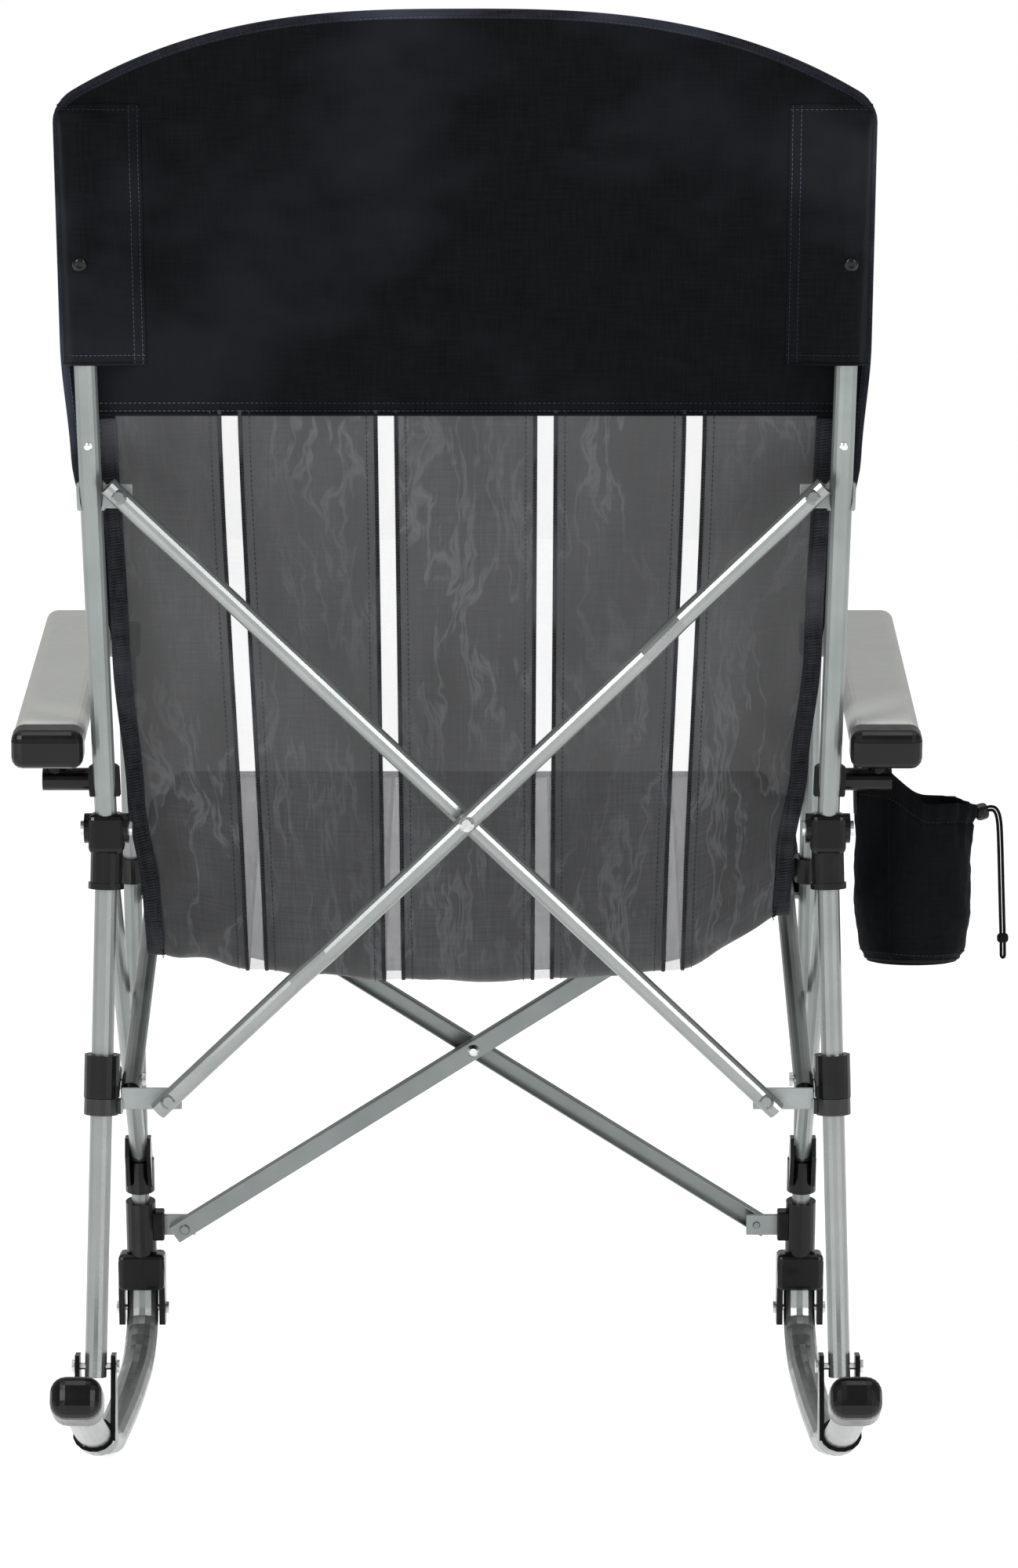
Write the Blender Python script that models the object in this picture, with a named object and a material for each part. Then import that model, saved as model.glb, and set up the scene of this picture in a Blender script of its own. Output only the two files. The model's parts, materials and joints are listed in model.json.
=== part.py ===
"""Camp rocking chair: folding steel tube frame on two rockers, fabric sling, armrests and a cup pouch.

Metres, +Z up. The sitter faces -Y, so "left" is +X and "right" is -X. The pouch hangs on the right.
Run with: blender --background --python part.py
"""

import math

import bmesh
import bpy
from mathutils import Matrix, Vector

# ---------------------------------------------------------------- driving dimensions
# The chair's middle plane and depth are moved by these, so that the origin is under the whole
# object's box, pouch included.
CENTRE_X = 0.0227
CENTRE_Y = 0.0150

GAP = 0.0004  # air left between two pieces that touch
SIDES = {"left": 1, "right": -1}

TUBE_R = 0.008  # rear legs and back posts
LEG_R = 0.007  # front legs
RAIL_R = 0.00725
LINK_R = 0.0065
BRACE_R = 0.0070
WALL = 0.0012
ROUND = 16  # sides of a tube

# rocker
RUNNER_HALF_WIDTH = 0.0125
RUNNER_HALF_HEIGHT = 0.0100
RUNNER_SIDES = 16
RUNNER_FLAT_FRONT = -0.058
RUNNER_FLAT_REAR = 0.034
RUNNER_KINK = math.radians(9.0)  # where the rear arc leaves the flat
RUNNER_REAR_RADIUS = 0.90
RUNNER_FRONT_RADIUS = 1.20
RUNNER_REAR_Y = 0.280
RUNNER_BEND_Y = -0.178  # where the front bend meets the floor stretch

# pivots and levels of the side frames, as (y, z)
YOKE_PIVOT = (-0.2745, 0.0565)
SADDLE_PIN_Z = 0.0850
REAR_LEG_Y = 0.142
REAR_LEG_FOOT_Z = 0.0775
REAR_LEG_TOP_Z = 0.4560
HUB_PIN_Z = 0.4760
POST_LEAN = 0.368  # y per z
POST_TOP_Z = 0.972
FRONT_LEG_LEAN = 0.224  # y per z
FRONT_LEG_FOOT_Z = 0.1020
FRONT_LEG_TOP_Z = 0.6000

# distances from the middle plane
REAR_LEG_X_FOOT = 0.2689
REAR_LEG_X_TOP = 0.2588
POST_X_TOP = 0.2663
FRONT_LEG_X_FOOT = 0.2590
FRONT_LEG_X_TOP = 0.2620
RAIL_X = 0.2435
LINK_X = 0.2592
ARMREST_INNER_X = 0.2731
ARMREST_OUTER_X = 0.3236

# seat rail and link
RAIL_REAR = (0.1270, 0.2835)
RAIL_SLOPE = 0.33  # rise per metre forward
RAIL_FRONT_Y = -0.372
RAIL_PIVOT_Y = 0.108
LINK_TOP = (0.1180, 0.4530)
LINK_FOOT = (-0.2255, 0.1905)

# scissor braces
REAR_UPPER_X, REAR_UPPER_Z = 0.2421, 0.7180
REAR_LOWER_X, REAR_LOWER_Z = 0.2146, 0.2804
FRONT_BOLT_X = 0.2245
FRONT_LOWER_Z, FRONT_UPPER_Z = 0.1250, 0.4130
BRACE_SWING = 0.0022  # room for the brace's slope across its tab
BRACE_OFFSET = 0.0015 + GAP + BRACE_R + BRACE_SWING  # brace centre from its tab's middle
BRACE_CRANK = 2 * BRACE_R + 0.0030  # how far the near rear brace bends out to pass the other
CHANNEL_DEPTH = 0.0090
CHANNEL_WIDTH = 0.0150
CHANNEL_OFFSET = 0.0015 + GAP + CHANNEL_DEPTH / 2

# armrest: top surface at its rear end and slope
ARM_REAR = (0.1880, 0.5480)
ARM_SLOPE = 0.1866
ARM_FRONT_Y = -0.1750
ARM_THICK = 0.0215
ARM_CAP_LENGTH = 0.030

# sling
SLING_THICK = 0.003
SLING_TOP_Z = 1.0537
SLING_CORNER_DROP = 0.0624
SLING_CORNER_POWER = 2.8
SLING_HEM_Z = 0.775
SLING_TOP_HALF = 0.2840
SLING_BACK_HALF = 0.2440
SLING_SEAT_HALF = 0.2330

# cup pouch
POUCH_CENTRE = (0.3255, 0.050)
POUCH_R = 0.0435
POUCH_FLOOR_Z = 0.3690
POUCH_RIM_Z = 0.4960
POUCH_WALL = 0.003

# drawstring
CORD_R = 0.0009
STRAND_HALF_GAP = 0.0013

COLOURS = {
    "frame_paint": ((0.33, 0.36, 0.355), 0.42, 0.55),
    "leg_paint": ((0.50, 0.52, 0.52), 0.32, 0.75),
    "steel_plate": ((0.36, 0.39, 0.385), 0.45, 0.50),
    "black_plastic": ((0.012, 0.012, 0.013), 0.28, 0.0),
    "arm_plastic": ((0.40, 0.42, 0.42), 0.38, 0.25),
    "zinc": ((0.72, 0.73, 0.74), 0.25, 1.0),
    "black_fabric": ((0.015, 0.016, 0.020), 0.85, 0.0),
    "sling_fabric": ((0.03, 0.032, 0.036), 0.85, 0.0),
    "cord_black": ((0.02, 0.02, 0.02), 0.8, 0.0),
}


# ---------------------------------------------------------------- small helpers
def material(name):
    """The Principled material of that name, made once."""
    found = bpy.data.materials.get(name)
    if found:
        return found
    colour, roughness, metallic = COLOURS[name]
    made = bpy.data.materials.new(name)
    made.use_nodes = True
    shader = made.node_tree.nodes["Principled BSDF"]
    shader.inputs["Base Color"].default_value = (*colour, 1.0)
    shader.inputs["Roughness"].default_value = roughness
    shader.inputs["Metallic"].default_value = metallic
    made.diffuse_color = (*colour, 1.0)
    return made


def from_bmesh(bm, name="piece"):
    """An object in the scene from a bmesh, with its normals facing out."""
    bmesh.ops.recalc_face_normals(bm, faces=bm.faces[:])
    mesh = bpy.data.meshes.new(name)
    bm.to_mesh(mesh)
    bm.free()
    obj = bpy.data.objects.new(name, mesh)
    bpy.context.scene.collection.objects.link(obj)
    return obj


def frames_along(path, side=Vector((1, 0, 0))):
    """A (point, side, up) frame at each point of a path, with side kept close to the given one."""
    result = []
    for i, point in enumerate(path):
        before = path[max(i - 1, 0)]
        after = path[min(i + 1, len(path) - 1)]
        along = (after - before).normalized()
        across = (side - along * side.dot(along)).normalized()
        result.append((point, across, along.cross(across)))
    return result


def oval_ring(bm, frame, half_width, half_height, count):
    """One ring of vertices round a path frame."""
    point, across, up = frame
    ring = []
    for k in range(count):
        angle = 2 * math.pi * (k + 0.5) / count
        offset = across * (half_width * math.cos(angle)) + up * (half_height * math.sin(angle))
        ring.append(bm.verts.new(point + offset))
    return ring


def skin(bm, ring_a, ring_b):
    """Quads between two rings of the same length."""
    count = len(ring_a)
    for k in range(count):
        n = (k + 1) % count
        bm.faces.new((ring_a[k], ring_a[n], ring_b[n], ring_b[k]))


def hollow(path, half_width, half_height, wall, count=ROUND, side=Vector((1, 0, 0))):
    """A tube with a wall, open at both ends, along a path of points."""
    bm = bmesh.new()
    frames = frames_along([Vector(p) for p in path], side)
    outer = [oval_ring(bm, f, half_width, half_height, count) for f in frames]
    inner = [oval_ring(bm, f, half_width - wall, half_height - wall, count) for f in frames]
    for rings in (outer, inner):
        for ring_a, ring_b in zip(rings, rings[1:]):
            skin(bm, ring_a, ring_b)
    skin(bm, outer[0], inner[0])
    skin(bm, outer[-1], inner[-1])
    return from_bmesh(bm)


def rod(start, end, radius, count=ROUND, end_radius=None):
    """A solid round bar, or a cone if end_radius is given."""
    start, end = Vector(start), Vector(end)
    along = end - start
    bm = bmesh.new()
    bmesh.ops.create_cone(
        bm,
        cap_ends=True,
        segments=count,
        radius1=radius,
        radius2=radius if end_radius is None else end_radius,
        depth=along.length,
    )
    turn = along.to_track_quat("Z", "Y").to_matrix().to_4x4()
    bmesh.ops.transform(bm, matrix=Matrix.Translation((start + end) / 2) @ turn, verts=bm.verts)
    return from_bmesh(bm)


def block(low, high, bevel=0.0, segments=2, turn=None, pivot=None):
    """A box between two corners, its edges rounded, turned about a pivot if asked."""
    low, high = Vector(low), Vector(high)
    centre, size = (low + high) / 2, high - low
    bm = bmesh.new()
    bmesh.ops.create_cube(bm, size=1.0)
    bmesh.ops.scale(bm, vec=Vector([abs(s) for s in size]), verts=bm.verts)
    if bevel:
        bmesh.ops.bevel(
            bm, geom=bm.edges[:], offset=bevel, segments=segments, profile=0.5, affect="EDGES"
        )
    bmesh.ops.translate(bm, vec=centre, verts=bm.verts)
    if turn is not None:
        about = Vector(pivot) if pivot is not None else centre
        bmesh.ops.rotate(bm, cent=about, matrix=turn, verts=bm.verts)
    return from_bmesh(bm)


def plate(outline, x_low, x_high):
    """A flat plate with a (y, z) outline, between two distances from the middle plane."""
    bm = bmesh.new()
    face = bm.faces.new([bm.verts.new((x_low, y, z)) for y, z in outline])
    swept = bmesh.ops.extrude_face_region(bm, geom=[face])
    moved = [v for v in swept["geom"] if isinstance(v, bmesh.types.BMVert)]
    bmesh.ops.translate(bm, vec=(x_high - x_low, 0, 0), verts=moved)
    return from_bmesh(bm)


def combine(target, others, operation):
    """Applies a Boolean of every other object to the target, and removes the others."""
    for other in others:
        modifier = target.modifiers.new("shape", "BOOLEAN")
        modifier.operation = operation
        modifier.solver = "EXACT"
        modifier.object = other
    bpy.context.view_layer.update()
    evaluated = target.evaluated_get(bpy.context.evaluated_depsgraph_get())
    mesh = bpy.data.meshes.new_from_object(evaluated)
    target.modifiers.clear()
    target.data = mesh
    for other in others:
        bpy.data.objects.remove(other)
    return target


def fuse(pieces):
    return combine(pieces[0], pieces[1:], "UNION")


def cut(target, tools):
    return combine(target, tools, "DIFFERENCE")


def mirrored(obj, sign):
    """The piece on the +X side, or its mirror image for sign -1."""
    if sign < 0:
        obj.data.transform(Matrix.Scale(-1, 4, (1, 0, 0)))
        obj.data.flip_normals()
    return obj


def empty(name, position):
    """An empty on a joint's axis, in the chair's own coordinates."""
    made = bpy.data.objects.new(name, None)
    made.location = position
    made.empty_display_size = 0.03
    made.parent = CHAIR
    bpy.context.scene.collection.objects.link(made)
    return made


def keep(obj, name, finish, holder=None, smooth=True):
    """Names a finished piece, gives it its material and hangs it on its empty."""
    obj.name = name
    obj.data.name = name
    obj.data.materials.clear()
    obj.data.materials.append(material(finish))
    if smooth and obj.type == "MESH":
        obj.data.shade_smooth()
        obj.data.set_sharp_from_angle(angle=math.radians(35))
    holder = holder or CHAIR
    if holder is not CHAIR:
        obj.data.transform(Matrix.Translation(-holder.location))
    obj.parent = holder
    return obj


# ---------------------------------------------------------------- lines that the parts share
def rear_leg_x(z):
    t = (z - REAR_LEG_FOOT_Z) / (REAR_LEG_TOP_Z - REAR_LEG_FOOT_Z)
    return REAR_LEG_X_FOOT + (REAR_LEG_X_TOP - REAR_LEG_X_FOOT) * t


def rear_leg_point(z):
    return Vector((rear_leg_x(z), REAR_LEG_Y, z))


def post_point(z):
    t = (z - HUB_PIN_Z) / (POST_TOP_Z - HUB_PIN_Z)
    x = REAR_LEG_X_TOP + (POST_X_TOP - REAR_LEG_X_TOP) * t
    return Vector((x, REAR_LEG_Y + POST_LEAN * (z - HUB_PIN_Z), z))


def front_leg_point(z):
    t = (z - FRONT_LEG_FOOT_Z) / (FRONT_LEG_TOP_Z - FRONT_LEG_FOOT_Z)
    x = FRONT_LEG_X_FOOT + (FRONT_LEG_X_TOP - FRONT_LEG_X_FOOT) * t
    return Vector((x, YOKE_PIVOT[0] + FRONT_LEG_LEAN * (z - YOKE_PIVOT[1]), z))


def rail_z(y):
    return RAIL_REAR[1] + RAIL_SLOPE * (RAIL_REAR[0] - y)


def runner_x(y):
    """The rockers splay outwards towards the rear."""
    t = (y - YOKE_PIVOT[0]) / (REAR_LEG_Y - YOKE_PIVOT[0])
    return FRONT_LEG_X_FOOT + (REAR_LEG_X_FOOT - FRONT_LEG_X_FOOT) * t


def runner_z(y):
    """Height of the rocker tube's centre: a short flat on the floor, then an arc each way."""
    level = RUNNER_HALF_HEIGHT * math.cos(math.pi / RUNNER_SIDES)
    if y > RUNNER_FLAT_REAR:
        beyond = y - RUNNER_FLAT_REAR
        arc = RUNNER_REAR_RADIUS - math.sqrt(RUNNER_REAR_RADIUS**2 - beyond**2)
        return level + arc + beyond * math.tan(RUNNER_KINK)
    beyond = max(RUNNER_FLAT_FRONT - y, 0.0)
    return level + RUNNER_FRONT_RADIUS - math.sqrt(RUNNER_FRONT_RADIUS**2 - beyond**2)


def arm_top_z(y):
    return ARM_REAR[1] + ARM_SLOPE * (ARM_REAR[0] - y)


def lean_turn(slope):
    """Rotation about X that leans a vertical piece back by y per z."""
    return Matrix.Rotation(-math.atan(slope), 3, "X")


FRONT_NORMAL = Vector((0, 1, -FRONT_LEG_LEAN)).normalized()


# ---------------------------------------------------------------- rocker and rear leg
def runner_path():
    """Down out of the yoke, round the wide front bend, along the floor and up to the rear."""
    path = []
    y_front, z_front = YOKE_PIVOT
    path.append((runner_x(y_front), y_front, z_front + 0.0158))
    bend_z = runner_z(RUNNER_BEND_Y)
    for step in range(8):
        angle = math.pi / 2 * step / 7
        y = RUNNER_BEND_Y - (RUNNER_BEND_Y - y_front) * math.cos(angle)
        z = z_front - (z_front - bend_z) * math.sin(angle)
        path.append((runner_x(y), y, z))
    for step in (1, 2):
        y = RUNNER_BEND_Y + (RUNNER_FLAT_FRONT - RUNNER_BEND_Y) * step / 2
        path.append((runner_x(y), y, runner_z(y)))
    for step in range(8):
        y = RUNNER_FLAT_REAR + (RUNNER_REAR_Y - RUNNER_FLAT_REAR) * step / 7
        path.append((runner_x(y), y, runner_z(y)))
    return path


def build_runner(side, sign):
    path = runner_path()
    tube = hollow(path, RUNNER_HALF_WIDTH, RUNNER_HALF_HEIGHT, 0.0016, RUNNER_SIDES)
    pin_hole = rod(
        (0.20, *YOKE_PIVOT), (0.32, *YOKE_PIVOT), 0.0029, count=12
    )
    cut(tube, [pin_hole])
    keep(mirrored(tube, sign), side + "_runner", "leg_paint")

    end, before = Vector(path[-1]), Vector(path[-3])
    along = (end - before).normalized()
    turn = Matrix.Rotation(math.atan2(along.z, along.y), 3, "X")
    half_w, half_h = 0.0185, 0.0152
    cap = block(
        (end.x - half_w, end.y - 0.013, end.z - half_h),
        (end.x + half_w, end.y + 0.033, end.z + half_h),
        bevel=0.0115,
        segments=5,
        turn=turn,
        pivot=end,
    )
    socket = hollow_core(path[-4:-1], end + along * GAP)
    cut(cap, [socket])
    keep(mirrored(cap, sign), side + "_runner_cap", "black_plastic")


def hollow_core(points, end, extra=GAP):
    """The rocker tube's outer shape grown all round: the space it needs, or a band round it."""
    bm = bmesh.new()
    path = [Vector(p) for p in points] + [Vector(end)]
    frames = frames_along(path)
    grown_w, grown_h = RUNNER_HALF_WIDTH + extra, RUNNER_HALF_HEIGHT + extra
    rings = [oval_ring(bm, f, grown_w, grown_h, RUNNER_SIDES) for f in frames]
    for ring_a, ring_b in zip(rings, rings[1:]):
        skin(bm, ring_a, ring_b)
    bm.faces.new(rings[0])
    bm.faces.new(rings[-1])
    return from_bmesh(bm)


def build_saddle(side, sign):
    """The bracket that grips the rocker and holds the rear leg's foot between two ears."""
    x, y = rear_leg_x(SADDLE_PIN_Z), REAR_LEG_Y
    run_z = runner_z(y)
    half, ear = 0.0148, 0.0036
    band = [(runner_x(v), v, runner_z(v)) for v in (y - 0.017, y)]
    base = hollow_core(band, (runner_x(y + 0.017), y + 0.017, runner_z(y + 0.017)), 0.0028)
    ears = []
    for low in (x - half, x + half - ear):
        outline = [(y - 0.0160, run_z), (y + 0.0160, run_z), (y + 0.0072, 0.094), (y - 0.0072, 0.094)]
        ears.append(plate(outline, low, low + ear))
    saddle = fuse([base, *ears])
    near = [(runner_x(v), v, runner_z(v)) for v in (y - 0.04, y - 0.02, y, y + 0.02)]
    core = hollow_core(near, (runner_x(y + 0.04), y + 0.04, runner_z(y + 0.04)))
    hole = rod((x - 0.03, y, SADDLE_PIN_Z), (x + 0.03, y, SADDLE_PIN_Z), 0.0029, 10)
    cut(saddle, [core, hole])
    keep(mirrored(saddle, sign), side + "_rear_saddle", "black_plastic")

    shaft = rod((x - half - 0.001, y, SADDLE_PIN_Z), (x + half + 0.001, y, SADDLE_PIN_Z), 0.0025, 10)
    heads = [
        rod((x - half - 0.0025, y, SADDLE_PIN_Z), (x - half - GAP, y, SADDLE_PIN_Z), 0.0048, 16),
        rod((x + half + GAP, y, SADDLE_PIN_Z), (x + half + 0.0025, y, SADDLE_PIN_Z), 0.0048, 16),
    ]
    keep(mirrored(fuse([shaft, *heads]), sign), side + "_saddle_pin", "zinc")


def build_rear_leg(side, sign):
    path = [rear_leg_point(REAR_LEG_FOOT_Z), rear_leg_point(REAR_LEG_TOP_Z)]
    leg = hollow(path, TUBE_R, TUBE_R, WALL)
    x = rear_leg_x(SADDLE_PIN_Z)
    foot_hole = rod((x - 0.02, REAR_LEG_Y, SADDLE_PIN_Z), (x + 0.02, REAR_LEG_Y, SADDLE_PIN_Z), 0.0029, 10)
    cut(leg, [foot_hole])
    keep(mirrored(leg, sign), side + "_rear_leg", "leg_paint")


# ---------------------------------------------------------------- hub and back post
def build_hub(side, sign):
    """Socket on the rear leg's top, with a fork for the back post and two ears for the side link."""
    x, y = REAR_LEG_X_TOP, REAR_LEG_Y
    collar = rod(rear_leg_point(0.4335), rear_leg_point(0.4600), 0.0116, 20)
    fork = block((x - 0.0126, y - 0.0132, 0.4580), (x + 0.0126, y + 0.0132, 0.4872), 0.0045, 3)
    boss = rod((x - 0.0158, y, HUB_PIN_Z), (x + 0.0158, y, HUB_PIN_Z), 0.0108, 22)
    lip = rod(rear_leg_point(0.4325), rear_leg_point(0.4370), 0.0129, 20)
    ears = []
    for low in (LINK_X - 0.0100, LINK_X + LINK_R + GAP):
        outline = [(y - 0.002, 0.441), (y - 0.002, 0.465), (0.1080, 0.461), (0.1080, 0.445)]
        ears.append(plate(outline, low, low + 0.0031))
    hub = fuse([collar, fork, boss, lip, *ears])
    bottom = rear_leg_point(0.4200)
    leg_space = rod(bottom, rear_leg_point(REAR_LEG_TOP_Z + GAP), TUBE_R + GAP, ROUND)
    post_space = rod(post_point(0.4640), post_point(0.5200), TUBE_R + GAP, ROUND)
    pin_space = rod((x - 0.03, y, HUB_PIN_Z), (x + 0.03, y, HUB_PIN_Z), 0.0029, 10)
    link_hole = rod((x - 0.03, *LINK_TOP), (x + 0.03, *LINK_TOP), 0.0024, 10)
    cut(hub, [leg_space, post_space, pin_space, link_hole])
    keep(mirrored(hub, sign), side + "_hub", "black_plastic")

    shaft = rod((x - 0.0170, y, HUB_PIN_Z), (x + 0.0170, y, HUB_PIN_Z), 0.0025, 10)
    heads = [
        rod((x - 0.0185, y, HUB_PIN_Z), (x - 0.0158 - GAP, y, HUB_PIN_Z), 0.0055, 16),
        rod((x + 0.0158 + GAP, y, HUB_PIN_Z), (x + 0.0185, y, HUB_PIN_Z), 0.0055, 16),
    ]
    keep(mirrored(fuse([shaft, *heads]), sign), side + "_hub_pin", "zinc")


def build_back_post(side, sign):
    post = hollow([post_point(0.4660), post_point(POST_TOP_Z)], TUBE_R, TUBE_R, WALL)
    x, y = REAR_LEG_X_TOP, REAR_LEG_Y
    pin_hole = rod((x - 0.02, y, HUB_PIN_Z), (x + 0.02, y, HUB_PIN_Z), 0.0029, 10)
    cut(post, [pin_hole])
    keep(mirrored(post, sign), side + "_back_post", "frame_paint")


def build_upper_bracket(side, sign):
    """Steel clip round the back post's front, with a flat tab that holds a rear brace."""
    at = post_point(REAR_UPPER_Z)
    low, high = post_point(REAR_UPPER_Z - 0.0085), post_point(REAR_UPPER_Z + 0.0085)
    ring = rod(low, high, TUBE_R + 0.0024, 20)
    tab = block(
        (REAR_UPPER_X - 0.0085, at.y - 0.0015, REAR_UPPER_Z - 0.0085),
        (at.x - TUBE_R, at.y + 0.0015, REAR_UPPER_Z + 0.0085),
        0.0006,
        1,
    )
    clip = fuse([ring, tab])
    behind = block(
        (at.x - 0.0200, at.y + 0.0015, low.z - 0.01), (at.x + 0.0200, at.y + 0.0300, high.z + 0.01)
    )
    space = rod(post_point(REAR_UPPER_Z - 0.03), post_point(REAR_UPPER_Z + 0.03), TUBE_R + GAP, ROUND)
    hole = rod(
        (REAR_UPPER_X, at.y - 0.01, REAR_UPPER_Z), (REAR_UPPER_X, at.y + 0.01, REAR_UPPER_Z), 0.0030, 12
    )
    cut(clip, [space, hole, behind])
    keep(mirrored(clip, sign), side + "_upper_bracket", "steel_plate")


# ---------------------------------------------------------------- seat rail, its collar and the side link
def build_rail_collar(side, sign):
    low_z, high_z = 0.2815, 0.3125
    collar = rod(rear_leg_point(low_z), rear_leg_point(high_z), 0.0130, 20)
    x = rear_leg_x(0.2900)
    lug = block(
        (RAIL_X + RAIL_R + GAP, RAIL_PIVOT_Y - 0.0095, rail_z(RAIL_PIVOT_Y) - 0.0085),
        (x + 0.0095, REAR_LEG_Y - 0.003, rail_z(RAIL_PIVOT_Y) + 0.0095),
        0.003,
        2,
    )
    piece = fuse([collar, lug])
    space = rod(rear_leg_point(0.26), rear_leg_point(0.34), TUBE_R + GAP, ROUND)
    bolt_line = (RAIL_PIVOT_Y, rail_z(RAIL_PIVOT_Y))
    hole = rod((0.22, *bolt_line), (0.30, *bolt_line), 0.0029, 10)
    below = block((0.22, 0.08, 0.24), (0.30, 0.17, low_z))
    cut(piece, [space, hole, below])
    keep(mirrored(piece, sign), side + "_rail_collar", "black_plastic")

    inner, outer = RAIL_X - RAIL_R, x + 0.0095
    shaft = rod((inner - 0.001, *bolt_line), (outer + 0.001, *bolt_line), 0.0025, 10)
    heads = [
        rod((inner - 0.0030, *bolt_line), (inner - GAP, *bolt_line), 0.0050, 16),
        rod((outer + GAP, *bolt_line), (outer + 0.0040, *bolt_line), 0.0050, 6),
    ]
    keep(mirrored(fuse([shaft, *heads]), sign), side + "_rail_bolt", "zinc")


def build_seat_rail(side, sign):
    def at(y):
        return Vector((RAIL_X, y, rail_z(y)))

    rail = hollow([at(RAIL_REAR[0]), at(RAIL_FRONT_Y)], RAIL_R, RAIL_R, WALL)
    bolt_line = (RAIL_PIVOT_Y, rail_z(RAIL_PIVOT_Y))
    hole = rod((0.22, *bolt_line), (0.30, *bolt_line), 0.0029, 10)
    cut(rail, [hole])
    leg = rail_crossing()
    stud = rod((RAIL_X + RAIL_R - 0.0008, leg.y, leg.z), (leg.x - 0.002, leg.y, leg.z), 0.0025, 10)
    fuse([rail, stud])
    keep(mirrored(rail, sign), side + "_seat_rail", "frame_paint")

    along = (at(RAIL_REAR[0]) - at(RAIL_FRONT_Y)).normalized()
    plug = rod(at(RAIL_REAR[0]) - along * 0.012, at(RAIL_REAR[0]) + along * 0.001, RAIL_R - WALL - GAP, 16)
    head = rod(at(RAIL_REAR[0]) + along * GAP, at(RAIL_REAR[0]) + along * 0.0045, RAIL_R, 20, 0.0058)
    keep(mirrored(fuse([plug, head]), sign), side + "_rail_end_cap", "black_plastic")


def rail_crossing():
    """Where the seat rail passes the front leg: a point on the leg's axis."""
    y0, z0 = YOKE_PIVOT
    y = (y0 + FRONT_LEG_LEAN * (rail_z(0) - z0)) / (1 + FRONT_LEG_LEAN * RAIL_SLOPE)
    return front_leg_point(rail_z(y))


def build_side_link(side, sign):
    top = Vector((LINK_X, *LINK_TOP))
    foot = Vector((LINK_X, *LINK_FOOT))
    along = (foot - top).normalized()
    link = hollow([top - along * 0.008, foot + along * 0.006], LINK_R, LINK_R, WALL)
    holes = [
        rod((0.24, *LINK_TOP), (0.28, *LINK_TOP), 0.0024, 10),
        rod((0.24, *LINK_FOOT), (0.28, *LINK_FOOT), 0.0024, 10),
    ]
    cut(link, holes)
    keep(mirrored(link, sign), side + "_side_link", "frame_paint")


def build_link_sleeve(side, sign):
    """Sleeve on the front leg whose two ears carry the side link's foot."""
    sleeve = rod(front_leg_point(0.1535), front_leg_point(0.1790), 0.0115, 20)
    base = front_leg_point(0.1660)
    ears = []
    for low in (LINK_X - 0.0100, LINK_X + LINK_R + GAP):
        outline = [
            (base.y - 0.004, 0.160),
            (base.y + 0.010, 0.158),
            (LINK_FOOT[0] + 0.008, LINK_FOOT[1] - 0.006),
            (LINK_FOOT[0] + 0.007, LINK_FOOT[1] + 0.0085),
            (LINK_FOOT[0] - 0.006, LINK_FOOT[1] + 0.0095),
            (base.y - 0.004, 0.178),
        ]
        ears.append(plate(outline, low, low + 0.0031))
    pin = rod((LINK_X - 0.0098, *LINK_FOOT), (LINK_X + 0.0098, *LINK_FOOT), 0.0020, 10)
    piece = fuse([sleeve, *ears, pin])
    space = rod(front_leg_point(0.13), front_leg_point(0.22), LEG_R + GAP, ROUND)
    cut(piece, [space])
    keep(mirrored(piece, sign), side + "_link_sleeve", "black_plastic")


# ---------------------------------------------------------------- front leg and yoke
def build_front_leg(side, sign):
    leg = hollow([front_leg_point(FRONT_LEG_FOOT_Z), front_leg_point(FRONT_LEG_TOP_Z)], LEG_R, LEG_R, WALL)
    at = rail_crossing()
    hole = rod((at.x - 0.02, at.y, at.z), (at.x, at.y, at.z), 0.0030, 10)
    cut(leg, [hole])
    keep(mirrored(leg, sign), side + "_front_leg", "frame_paint")


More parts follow.
